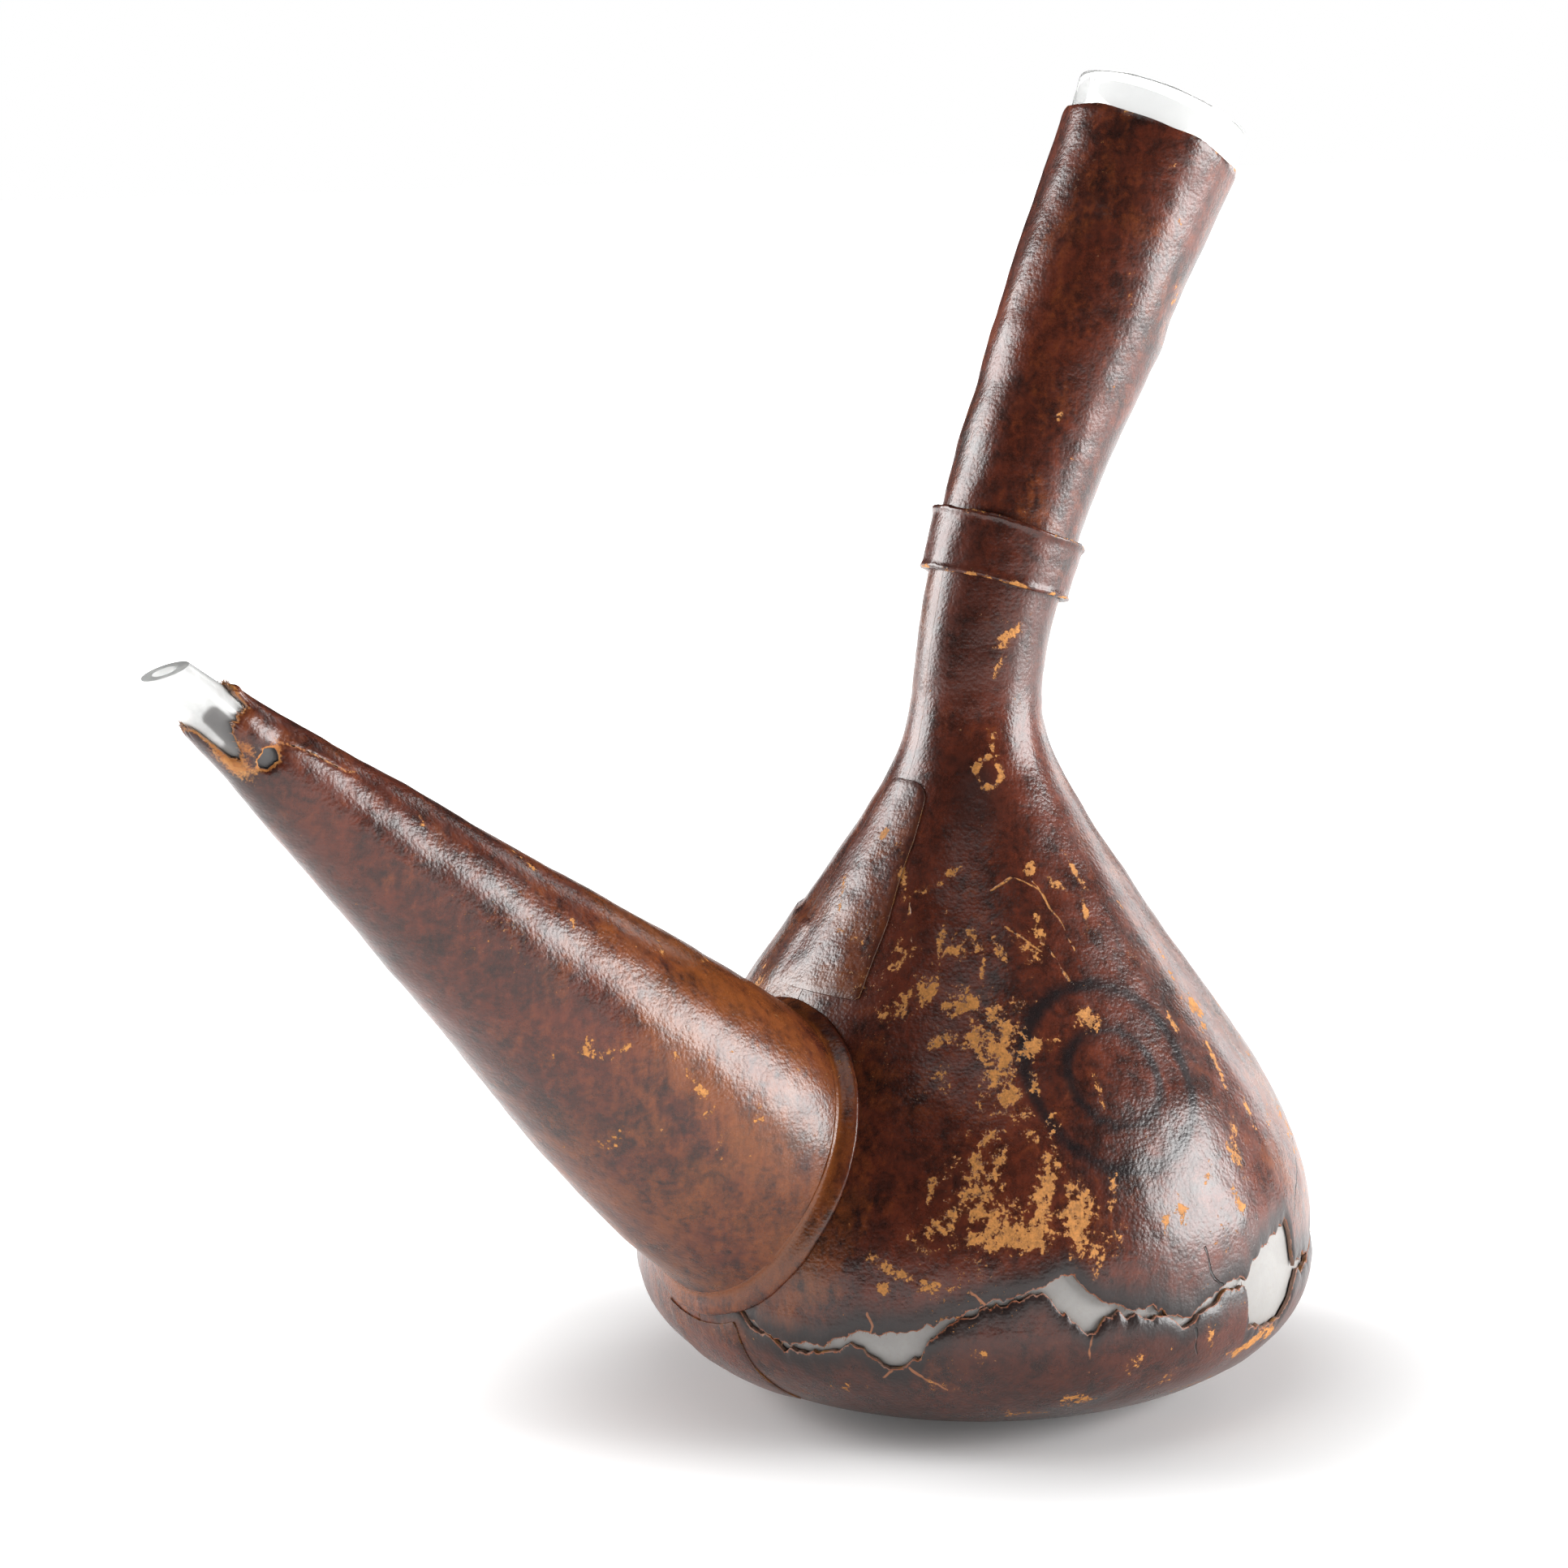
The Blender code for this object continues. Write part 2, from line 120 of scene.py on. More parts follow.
# Where the glaze has flaked: degrees round, height, half width and half
# height in mm, slant in degrees and strength
BODY_FLAKES = (
    (-122.8, 84, 5.5, 2.6, 0, 0.75), (-127, 84.5, 3, 1.8, 20, 0.85), (-119, 82, 6, 1.2, 4, 0.9),
    (-122, 78, 2.4, 4.5, -15, 0.85), (-120.5, 73, 2.2, 3.2, 10, 0.8),
    (-124, 89, 1.2, 3.4, 30, 0.7), (-128.5, 91, 2.8, 1, 20, 0.7), (-134, 84, 4, 1, -18, 0.75),
    (-131, 92, 1.2, 2.4, 35, 0.65), (-126, 74, 3.5, 3, 0, 0.55), (-129.9, 62.1, 4.5, 3, 10, 0.5),
    (-127.5, 57, 3.4, 6.5, -10, 0.8), (-131.5, 52.5, 3.2, 2.4, 0, 0.7),
    (-124.5, 52, 3, 5, 15, 0.78), (-121, 48.3, 6, 2.5, 3, 1.05), (-116, 56, 1.7, 5.5, -18, 0.9),
    (-115.2, 62.3, 1.1, 4.6, 30, 0.7), (-113.5, 68.5, 1.6, 1.3, 0, 0.85),
    (-110.8, 51, 2.6, 5.6, 6, 0.98), (-108, 46.5, 3.6, 3.4, 20, 0.7),
    (-133.8, 50, 3.6, 1.8, 15, 0.75), (-128.5, 47.4, 3, 1.4, 0, 0.65),
    (-141.5, 41, 5.2, 0.9, -22, 0.9), (-135.5, 38.4, 2.6, 1.7, -10, 0.85),
    (-94.5, 49, 0.9, 4.4, -18, 0.75), (-59.2, 83.9, 2.6, 1.8, 0, 0.95), (-62, 80, 4, 1, 30, 0.6),
    (-112, 100, 2, 3.4, 20, 0.62), (-107, 103, 1.1, 3.4, -12, 0.66),
    (-128, 101, 1.2, 3, 30, 0.75), (-106.5, 161.2, 3.2, 1.1, 40, 0.8),
    (-109.5, 159.4, 1.2, 0.8, 0, 0.85), (-113, 154.5, 0.5, 2, -18, 0.7),
    (-116, 141.6, 1.1, 1, 0, 0.8), (-115.2, 139, 0.5, 2.4, 0, 0.75),
    (-142.9, 92.4, 2.6, 1.2, 24, 0.7), (-150, 104, 0.8, 3.6, 22, 0.6),
    (-146, 88, 3.6, 1, 14, 0.6), (-158, 112, 0.8, 5, 30, 0.7), (-152, 97, 3, 0.8, 20, 0.7),
    (-137, 46, 3, 1, -30, 0.75), (-138, 114.6, 1.6, 0.6, 10, 0.8),
    (-148, 110.6, 2.6, 0.6, 24, 0.85), (-149, 99.6, 3, 0.7, -16, 0.8),
    (-139, 102.4, 0.6, 3.4, -8, 0.8), (-134, 99.6, 1.7, 1.1, 24, 0.9),
    (-121, 100.4, 0.7, 2.8, 20, 0.85), (-142, 92.6, 3, 1.7, 24, 0.95),
    (-150, 88.4, 3.6, 0.6, 14, 0.8), (-132, 90.4, 2.6, 1.8, 20, 0.95),
    (-118, 89.8, 3.6, 0.7, 4, 0.85), (-126, 95.6, 0.5, 4, -4, 0.85), (-138, 82.4, 1.4, 1, 0, 0.8),
    (-136, 77, 1.6, 2, 30, 0.78), (-116, 85, 0.6, 1.6, 0, 0.8), (-100, 86.4, 2.2, 1.4, -20, 0.92),
    (-73, 82.4, 0.7, 1.6, 0, 0.8), (-102, 73.4, 0.6, 2.4, 0, 0.75), (175, 108, 0.6, 3.4, 30, 0.8),
    (-172, 105, 1.8, 0.5, 30, 0.8), (-171, 100.4, 3, 0.5, -10, 0.76),
    (-178, 120, 0.9, 0.9, 0, 0.85), (-105, 114.4, 1.4, 1.2, 0, 0.85),
    (-95, 111.4, 2, 0.8, -30, 0.85), (-83, 112.4, 0.6, 3, 10, 0.8), (-87, 105, 0.5, 3, -20, 0.78),
    (-67, 105, 0.8, 1.2, 0, 0.7), (-55, 61, 3, 0.7, 30, 0.8), (-84, 54.4, 3, 0.7, 34, 0.8),
    (-91, 50.4, 1.4, 2, 20, 0.8), (-124, 62.4, 1.6, 2, 0, 0.82), (-66, 74, 0.8, 5, -18, 0.76),
    (-63, 66, 0.7, 4, -12, 0.74), (-74, 57, 1.2, 2.8, 15, 0.86), (-77.5, 49, 1, 2.6, 10, 0.8),
    (-71.5, 62, 2.4, 1.2, 40, 0.78), (-60, 92, 0.7, 4, -20, 0.72), (-143, 37, 1.2, 0.9, 0, 0.8),
    (-116, 76, 0.8, 2.6, 20, 0.75), (-104, 55, 0.9, 3, -20, 0.7), (-118, 67, 0.9, 0.9, 0, 0.8),
    (-126, 66, 1.8, 0.8, 30, 0.75), (-136, 57, 0.9, 2, 0, 0.72), (-45, 55, 5, 7, 0, 0.55),
    (-42, 74, 3, 5, 0, 0.5), (-30, 62, 6, 9, 0, 0.5), (-15, 88, 4, 6, 20, 0.5),
    (22, 48, 7, 5, 0, 0.6), (41, 96, 3, 6, 24, 0.6), (66, 58, 6, 3.5, 12, 0.65),
    (95, 44, 9, 3, -8, 0.62), (118, 70, 5, 6, 30, 0.6), (146, 52, 5, 4, 0, 0.6),
    (84, 104, 3, 4, 0, 0.6), (160, 84, 3, 6, 12, 0.55), (133, 32, 7, 2, 6, 0.6),
    (12, 27, 6, 2, 0, 0.6), (72, 24, 8, 2, 4, 0.6))
SKIRT_FLAKES = (
    (-134, 17, 3.4, 1, -24, 0.75), (-101, 20.5, 3, 1.6, 20, 0.65),
    (-93, 15, 2.6, 1.2, 30, 0.7), (-86, 22, 0.9, 3, 20, 0.7), (-110, 12, 3, 1.3, 0, 0.75),
    (-127, 24, 2.2, 1.2, 0, 0.5), (-72, 17.8, 5.5, 1.3, 12, 1.0), (-66, 17.6, 3.4, 1, 0, 0.9),
    (-152, 14, 3.4, 1, 10, 0.6), (-118, 8.5, 4, 0.8, 0, 0.7), (-80, 9.5, 5, 0.8, 0, 0.7),
    (-30, 18, 5, 2, 0, 0.6), (-12, 11, 5, 2, 0, 0.6))
NECK_FLAKES = (
    (-118, 206, 0.6, 0.8, 0, 0.8), (-104, 232, 0.7, 2.6, 18, 0.6),
    (-99, 224, 0.6, 1.4, 0, 0.6), (-110, 258, 0.5, 2, 10, 0.5), (-130, 240, 0.5, 0.8, 0, 0.55),
    (-87, 246, 0.8, 2.4, 30, 0.6), (-90, 211, 1.4, 1, 20, 0.55), (-60, 230, 1, 3, 24, 0.6),
    (40, 214, 2, 4, 12, 0.6), (80, 250, 2, 3, 0, 0.6), (140, 222, 1.6, 4, 20, 0.6),
    (10, 262, 3, 1.6, 0, 0.6))
# The same on the spout: degrees about its axis, distance from the tip
SPOUT_FLAKES = (
    (-62, 96, 1.7, 1.2, 20, 0.9), (-112, 112, 1.4, 1.1, 0, 0.9), (-104, 117, 2.8, 0.8, 30, 0.7),
    (-92, 134, 0.8, 4.5, 14, 0.7), (-97, 141, 2.6, 0.8, 20, 0.68), (-86, 150, 1.6, 1, 0, 0.7),
    (-108, 148, 0.7, 3, 40, 0.6), (-70, 140, 0.7, 2.6, 0, 0.55), (-128, 108, 2.2, 0.7, 12, 0.6),
    (-40, 118, 3.4, 0.8, 0, 0.55), (-32, 84, 0.8, 3, 10, 0.6), (-56, 58, 0.7, 2.4, 30, 0.6),
    (-30, 130, 4, 1, 20, 0.55), (-90, 60, 0.6, 1.8, 0, 0.5), (-140, 132, 4, 1.6, 0, 0.6),
    (30, 110, 2, 4, 0, 0.6), (92, 98, 3, 4, 20, 0.6), (120, 60, 1.4, 4, 10, 0.6))

# Thin marks on the body, each a run of (degrees round, height) points: dark
# cracks, pale splits along the tear and tan scratches
CRACKS = (((-87.2, 41.5), (-86.4, 36.6), (-83.3, 32.6)),
          ((-90, 25.6), (-89.2, 21), (-86.7, 16.6)),
          ((-60.8, 38), (-57, 44), (-50, 49.5), (-40, 57)))
SPLITS = (((-145.6, 31.8), (-144.6, 29.4), (-145.4, 27.4)),
          ((-129.7, 39.4), (-128.6, 36.4), (-125, 33.6)),
          ((-109, 28.5), (-109.6, 24), (-109, 19.3)),
          ((-139, 21), (-136, 18.5), (-132.5, 16)), ((-141, 20.5), (-143.5, 18)))
SCRATCHES = (((-122, 111), (-113, 113.5), (-103, 110.4)), ((-104, 112), (-98, 104), (-97, 99)),
             ((-118, 104), (-108, 99.5)), ((-153, 108), (-149, 101)),
             ((-139, 97), (-134, 103)), ((-101, 93), (-107, 101)))
# A ring rubbed at the neck's foot: degrees round, height, radius and width
SCUFF_RING = (-119.3, 133.1, 2.7, 0.9)
# The painted ovals: their middle, then each one's half width, half height and
# half its line's width
ORNAMENT_DEGREES = -97.0
ORNAMENT_HEIGHT = 75.5
OVALS = ((19.0, 17.0, 1.3), (10.5, 8.8, 1.0))

# Seam strips: node, degrees round, lowest and highest point, half width at
# each of them, and how far round the sheet is laid out before it is cut
STRIPS = (("spout_side_gore", 180.0, 89.4, 130.8, 15.6, 6.4, 64.0),
          ("back_gore", 0.0, 103.5, 129.4, 13.0, 8.0, 46.0),
          ("spout_lower_strip", 180.0, 6.0, 30.5, 12.0, 12.0, 46.0))
STRIP_LIFT = 0.42

FIBRE_THICKNESS = 0.085
FIBRE_SPREAD = 0.75

# Soft boxes: name, place and size in metres, and power in watts
LIGHTS = (("key_softbox", (0.9, -0.84, 0.37), (0.8, 0.66), 24.5),
          ("right_softbox", (1.2, 0.28, 0.42), (0.4, 0.7), 3.5),
          ("rear_softbox", (-0.72, 0.98, 0.42), (0.8, 0.7), 20.0),
          ("top_softbox", (-0.3, -0.3, 1.4), (0.7, 0.7), 2.2))
LIGHT_TARGET = Vector((0.0, 0.0, 0.12))
AIR_LIGHT = 0.025


def smooth_curve(points, where):
    """Read a smooth curve through (place, value) points at many places."""
    places = np.array([point[0] for point in points], float)
    values = np.array([point[1] for point in points], float)
    last = len(points) - 1
    before = np.maximum(np.arange(last + 1) - 1, 0)
    after = np.minimum(np.arange(last + 1) + 1, last)
    slopes = (values[after] - values[before]) / (places[after] - places[before])
    index = np.clip(np.searchsorted(places, where, side="left") - 1, 0, last - 1)
    span = places[index + 1] - places[index]
    t = (where - places[index]) / span
    return ((2 * t ** 3 - 3 * t ** 2 + 1) * values[index]
            + (t ** 3 - 2 * t ** 2 + t) * span * slopes[index]
            + (3 * t ** 2 - 2 * t ** 3) * values[index + 1]
            + (t ** 3 - t ** 2) * span * slopes[index + 1])


def blend(low, high, value):
    """0 below low, 1 above high, and a smooth rise between them."""
    t = np.clip((value - low) / (high - low), 0.0, 1.0)
    return t * t * (3 - 2 * t)


class Body:
    """The outside of the glass body and neck, read at any height and angle."""

    def __init__(self):
        turn = np.linspace(0.0, math.pi / 2, 60)[:-1]
        base = WIDEST_HEIGHT * (1 - np.cos(turn))
        base_radius = BASE_FLAT_RADIUS + (BODY_RADIUS - BASE_FLAT_RADIUS) * np.sin(turn)
        share = np.linspace(0.0, 1.0, 240)[:-1]
        side = WIDEST_HEIGHT + (SHOULDER_HEIGHT - WIDEST_HEIGHT) * share
        side_radius = NECK_RADIUS + (BODY_RADIUS - NECK_RADIUS) * smooth_curve(BODY_SHAPE, share)
        run = np.linspace(0.0, 1.0, 240)
        neck = SHOULDER_HEIGHT + NECK_LENGTH * run
        neck_radius = NECK_RADIUS + (MOUTH_RADIUS - NECK_RADIUS) * smooth_curve(NECK_SHAPE, run)
        self.place = np.concatenate((base, side, neck))
        self.radius = self.ease_shoulder(np.concatenate((base_radius, side_radius, neck_radius)))
        along = np.gradient(self.place)
        outward = np.gradient(self.radius)
        size = np.hypot(along, outward)
        self.normal_out = along / size
        self.normal_up = -outward / size
        self.normal_out[0], self.normal_up[0] = 0.35, -0.94
        steps = np.hypot(np.diff(self.place), np.diff(self.radius))
        self.length = np.concatenate(((0.0,), np.cumsum(steps)))
        self.bend_run = np.linspace(0.0, NECK_LENGTH + 20.0 + BEND_EASE, 400)
        past = self.bend_run - BEND_EASE
        eased = np.where(past < BEND_EASE, self.bend_run ** 2 / (4 * BEND_EASE), past)
        lean = math.radians(NECK_LEAN) * (1 - np.exp(-eased / NECK_BEND_LENGTH))
        step = self.bend_run[1]
        middle_lean = (lean[1:] + lean[:-1]) / 2
        self.bend_x = np.concatenate(((0.0,), np.cumsum(np.sin(middle_lean)))) * step
        self.bend_z = np.concatenate(((0.0,), np.cumsum(np.cos(middle_lean)))) * step
        self.lean = lean

    def ease_shoulder(self, radius):
        """Round off the corner that the outline makes at the shoulder."""
        apart = (self.place[:, None] - self.place[None, :]) / SHOULDER_EASE
        weights = np.exp(-apart ** 2) * np.gradient(self.place)[None, :]
        eased = (weights @ radius) / weights.sum(axis=1)
        share = np.exp(-((self.place - SHOULDER_HEIGHT) / (3 * SHOULDER_EASE)) ** 4)
        return radius + (eased - radius) * share

    def length_at(self, place):
        return np.interp(place, self.place, self.length)

    def point(self, degrees, length, lift):
        """Points in millimetres, lifted off the glass along its normal."""
        place = np.interp(length, self.length, self.place)
        radius = np.interp(length, self.length, self.radius)
        out = np.interp(length, self.length, self.normal_out)
        up = np.interp(length, self.length, self.normal_up)
        place = place + lift * up
        radius = radius + lift * out
        straight = SHOULDER_HEIGHT - BEND_EASE
        run = np.clip(place - straight, 0.0, None)
        lean = np.interp(run, self.bend_run, self.lean)
        x = np.interp(run, self.bend_run, self.bend_x)
        z = np.where(run > 0, straight + np.interp(run, self.bend_run, self.bend_z), place)
        turn = np.radians(degrees)
        return np.stack((x + radius * np.cos(turn) * np.cos(lean), radius * np.sin(turn),
                         z + GLASS_BASE - radius * np.cos(turn) * np.sin(lean)), axis=-1)

    def lift_of(self, points):
        """About how far points of the straight part stand off the glass."""
        place = points[..., 2] - GLASS_BASE
        away = np.hypot(points[..., 0], points[..., 1])
        radius = np.interp(place, self.place, self.radius)
        out = np.interp(place, self.place, self.normal_out)
        return (away - radius) * out


class Spout:
    """The outside of the glass spout, by the distance from its tip."""

    def __init__(self):
        rise = math.radians(SPOUT_RISE)
        self.back = np.array((math.cos(rise), 0.0, -math.sin(rise)))
        self.up = np.array((math.sin(rise), 0.0, math.cos(rise)))
        self.tip = np.array(SPOUT_TIP)

    def radius(self, distance):
        body = SPOUT_LENGTH - SPOUT_NOSE_LENGTH
        share = np.clip((distance - SPOUT_NOSE_LENGTH) / body, 0.0, 1.0)
        wide = SPOUT_NOSE_RADIUS + (SPOUT_ROOT_RADIUS - SPOUT_NOSE_RADIUS) * smooth_curve(
            SPOUT_SHAPE, share)
        nose = SPOUT_TIP_RADIUS + (SPOUT_NOSE_RADIUS - SPOUT_TIP_RADIUS) * (
            distance / SPOUT_NOSE_LENGTH)
        return np.where(distance < SPOUT_NOSE_LENGTH, nose, wide)

    def point(self, degrees, distance, lift):
        turn = np.radians(degrees)
        slope = (self.radius(distance + 0.5) - self.radius(distance - 0.5))
        reach = self.radius(distance) + lift
        centre = self.tip + np.multiply.outer(distance - lift * slope, self.back)
        return (centre + (reach * np.cos(turn))[..., None] * self.up
                + (reach * np.sin(turn))[..., None] * np.array((0.0, 1.0, 0.0)))

    def lift_of(self, points):
        """How far points stand off the spout's glass, and their distance back."""
        offset = points - self.tip
        distance = offset @ self.back
        across = offset - distance[..., None] * self.back
        return np.linalg.norm(across, axis=-1) - self.radius(distance), distance

    def meets_body(self, degrees, lift, body_lift):
        """Distance from the tip at which the lifted spout meets the body."""
        tries = np.linspace(70.0, 205.0, 700)
        angles, places = np.meshgrid(degrees, tries, indexing="ij")
        stands = body.lift_of(self.point(angles, places, lift)) - body_lift
        first = np.argmax(stands < 0, axis=1)
        rows = np.arange(len(degrees))
        ahead = stands[rows, first - 1]
        share = ahead / (ahead - stands[rows, first])
        return tries[first - 1] + share * (tries[1] - tries[0])


body = Body()
spout = Spout()


def rough(values, seed, size):
    """Smooth noise, about -1 to 1, along a line of values, in steps of size."""
    return np.array([noise.noise((value / size, seed * 7.31, seed * 1.7)) for value in values]) * 2


def lumps(points, size, seed=0.0):
    """Smooth noise, about -1 to 1, at points in millimetres."""
    shift = Vector((seed * 3.1, seed * 5.7, seed * 1.9))
    return np.array([noise.noise(Vector(point) / size + shift) for point in points]) * 2


def edge_height(edge, degrees, seed):
    """Height of a torn edge, with the small steps that a tear leaves."""
    line = np.interp(degrees, [point[0] for point in edge], [point[1] for point in edge])
    calm = 0.45 + 0.55 * blend(-38.0, -60.0, degrees)
    steps = 0.55 * rough(degrees, seed + 5, 1.5) + 0.36 * rough(degrees, seed + 9, 0.8)
    line = line + 0.5 * rough(degrees, seed, 3.1) + steps * calm
    return line + (0.1 if edge is UPPER_EDGE else -0.1)


def half_turn(degrees):
    """The same angle between -180 and 180."""
    return (degrees + 180) % 360 - 180


def spot_strength(spots, across, up, across_size):
    """How strongly the nearest spot covers each point, from 0 to about 1."""
    best = np.zeros(len(up))
    for centre, height, half_width, half_height, slant, strength in spots:
        turn = math.radians(slant)
        run = half_turn(across - centre) * across_size
        rise = up - height
        along = run * math.cos(turn) + rise * math.sin(turn)
        over = rise * math.cos(turn) - run * math.sin(turn)
        away = np.sqrt((along / half_width) ** 2 + (over / half_height) ** 2)
        best = np.maximum(best, strength * np.clip(1.35 - 0.55 * away, 0.0, 1.0))
    return best


def spout_torn_end(degrees):
    """Distance from the tip at which the spout's leather is torn off."""
    turn = half_turn(degrees)
    line = np.interp(turn, [point[0] for point in SPOUT_EDGE], [point[1] for point in SPOUT_EDGE])
    return line + 0.4 * rough(turn, 31, 14.0) + 0.45 * rough(turn, 33, 5.0)


def spout_hole_size(degrees, places):
    """Below zero inside the hole worn through the leather near the tip."""
    middle, back, half_width, half_length = SPOUT_HOLE
    aside = (degrees - middle) * math.radians(HOLE_RADIUS)
    length = (places - back) / (half_length + 0.12 * aside)
    size = np.sqrt((aside / half_width) ** 2 + length ** 2)
    return size - 1.0 + 0.24 * rough(np.ravel(degrees), 37, 7.0).reshape(np.shape(degrees))


def spout_split(degrees, places):
    """Millimetres from the dashed split that runs back from that hole."""
    middle = np.interp(places, [point[0] for point in SPOUT_SPLIT],
                       [point[1] for point in SPOUT_SPLIT])
    return np.abs(degrees - middle) * math.radians(SPLIT_RADIUS)


def clip_grid(degrees, rows, keep, closed):
    """Cut a grid of cells along the line where keep changes sign. Gives the
    corners as (column, row) numbers and the faces as runs of corners."""
    columns = len(degrees)
    corners = []
    found = {}

    def corner(first, second=None):
        key = (first, second) if second is None or first < second else (second, first)
        if key not in found:
            found[key] = len(corners)
            if second is None:
                corners.append((float(key[0][0]), float(key[0][1])))
            else:
                (a, b), (c, d) = key
                if closed and abs(a - c) > 1:
                    a += columns if a < c else 0
                    c += columns if c < key[0][0] else 0
                one = keep[key[0][0] % columns, b]
                two = keep[key[1][0] % columns, d]
                share = min(max(one / (one - two), 0.08), 0.92)
                corners.append((a + (c - a) * share, b + (d - b) * share))
        return found[key]

    faces = []
    for column in range(columns if closed else columns - 1):
        after = (column + 1) % columns
        for row in range(len(rows) - 1):
            cell = ((column, row), (after, row), (after, row + 1), (column, row + 1))
            kept = [keep[place] > 0 for place in cell]
            if not any(kept):
                continue
            face = []
            for index, place in enumerate(cell):
                following = (index + 1) % 4
                if kept[index]:
                    face.append(corner(place))
                if kept[index] != kept[following]:
                    face.append(corner(place, cell[following]))
            if len(face) > 2:
                faces.append(face)
    return np.array(corners), faces


def link_new(name, data):
    """A new object in the scene."""
    item = bpy.data.objects.new(name, data)
    bpy.context.scene.collection.objects.link(item)
    return item


def add_mesh(name, points, faces, materials, marks=None, face_materials=None):
    """A new object from points in millimetres, with smooth faces."""
    mesh = bpy.data.meshes.new(name)
    mesh.from_pydata([tuple(point) for point in np.asarray(points) * MM], [], faces)
    for material in materials:
        mesh.materials.append(material)
    if face_materials is not None:
        mesh.polygons.foreach_set("material_index", face_materials)
    for mark, values in (marks or {}).items():
        attribute = mesh.attributes.new(mark, "FLOAT", "POINT")
        attribute.data.foreach_set("value", np.asarray(values, dtype=np.float32))
    shape = bmesh.new()
    shape.from_mesh(mesh)
    bmesh.ops.recalc_face_normals(shape, faces=shape.faces)
    shape.to_mesh(mesh)
    shape.free()
    mesh.shade_smooth()
    return link_new(name, mesh)


def wall_solid(name, outer, inner, faces, materials, marks):
    """Close a clipped sheet into a solid: outer side, inner side and rim. The
    rim gets the second material, the raw cut side of the leather."""
    count = len(outer)
    edges = {}
    for face in faces:
        for first, second in zip(face, face[1:] + face[:1]):
            key = (min(first, second), max(first, second))
            edges[key] = None if key in edges else (first, second)
    rims = [edge for edge in edges.values() if edge is not None]
    all_faces = [list(face) for face in faces]
    all_faces += [[corner + count for corner in reversed(face)] for face in faces]
    all_faces += [[second, first, first + count, second + count] for first, second in rims]
    kinds = [0] * (2 * len(faces)) + [1] * len(rims)
    doubled = {mark: np.concatenate((values, values)) for mark, values in marks.items()}
    item = add_mesh(name, np.concatenate((outer, inner)), all_faces, materials, doubled, kinds)
    for edge in item.data.edges:
        low, high = sorted(edge.vertices)
        if (low, high) in edges and edges[(low, high)] is not None:
            edge.use_edge_sharp = True
    return item


def ring_faces(columns, count):
    """Faces of a closed section of count points carried round a closed loop."""
    faces = []
    for column in range(columns):
        after = (column + 1) % columns
        for step in range(count):
            following = (step + 1) % count
            faces.append([column * count + step, after * count + step,
                          after * count + following, column * count + following])
    return faces


def finish_piece(item, slot, *nodes):
    """Seat a finished piece on the body and let it stand for its CAD nodes."""
    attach(item, "root")
    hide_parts(*nodes)
    return item


# Materials -----------------------------------------------------------------

class Number:
    """A shader value: an expression on it adds its Math nodes."""

    def __init__(self, shader, socket):
        self.shader = shader
        self.socket = socket

    def maths(self, operation, *others):
        return self.shader.add("ShaderNodeMath", {"operation": operation},
                               dict(enumerate((self,) + others)))

    def __add__(self, other):
        return self.maths("ADD", other)

    def __radd__(self, other):
        return self.maths("ADD", other)

    def __sub__(self, other):
        return self.maths("SUBTRACT", other)

    def __rsub__(self, other):
        return (self * -1.0) + other

    def __mul__(self, other):
        return self.maths("MULTIPLY", other)

    def __rmul__(self, other):
        return self.maths("MULTIPLY", other)

    def __truediv__(self, other):
        return self.maths("DIVIDE", other)

    def top(self, other):
        return self.maths("MAXIMUM", other)

    def step(self, low, high):
        """0 at low and 1 at high, smooth between them."""
        return self.shader.add("ShaderNodeMapRange", {"interpolation_type": "SMOOTHSTEP"},
                               {"Value": self, "From Min": low, "From Max": high})


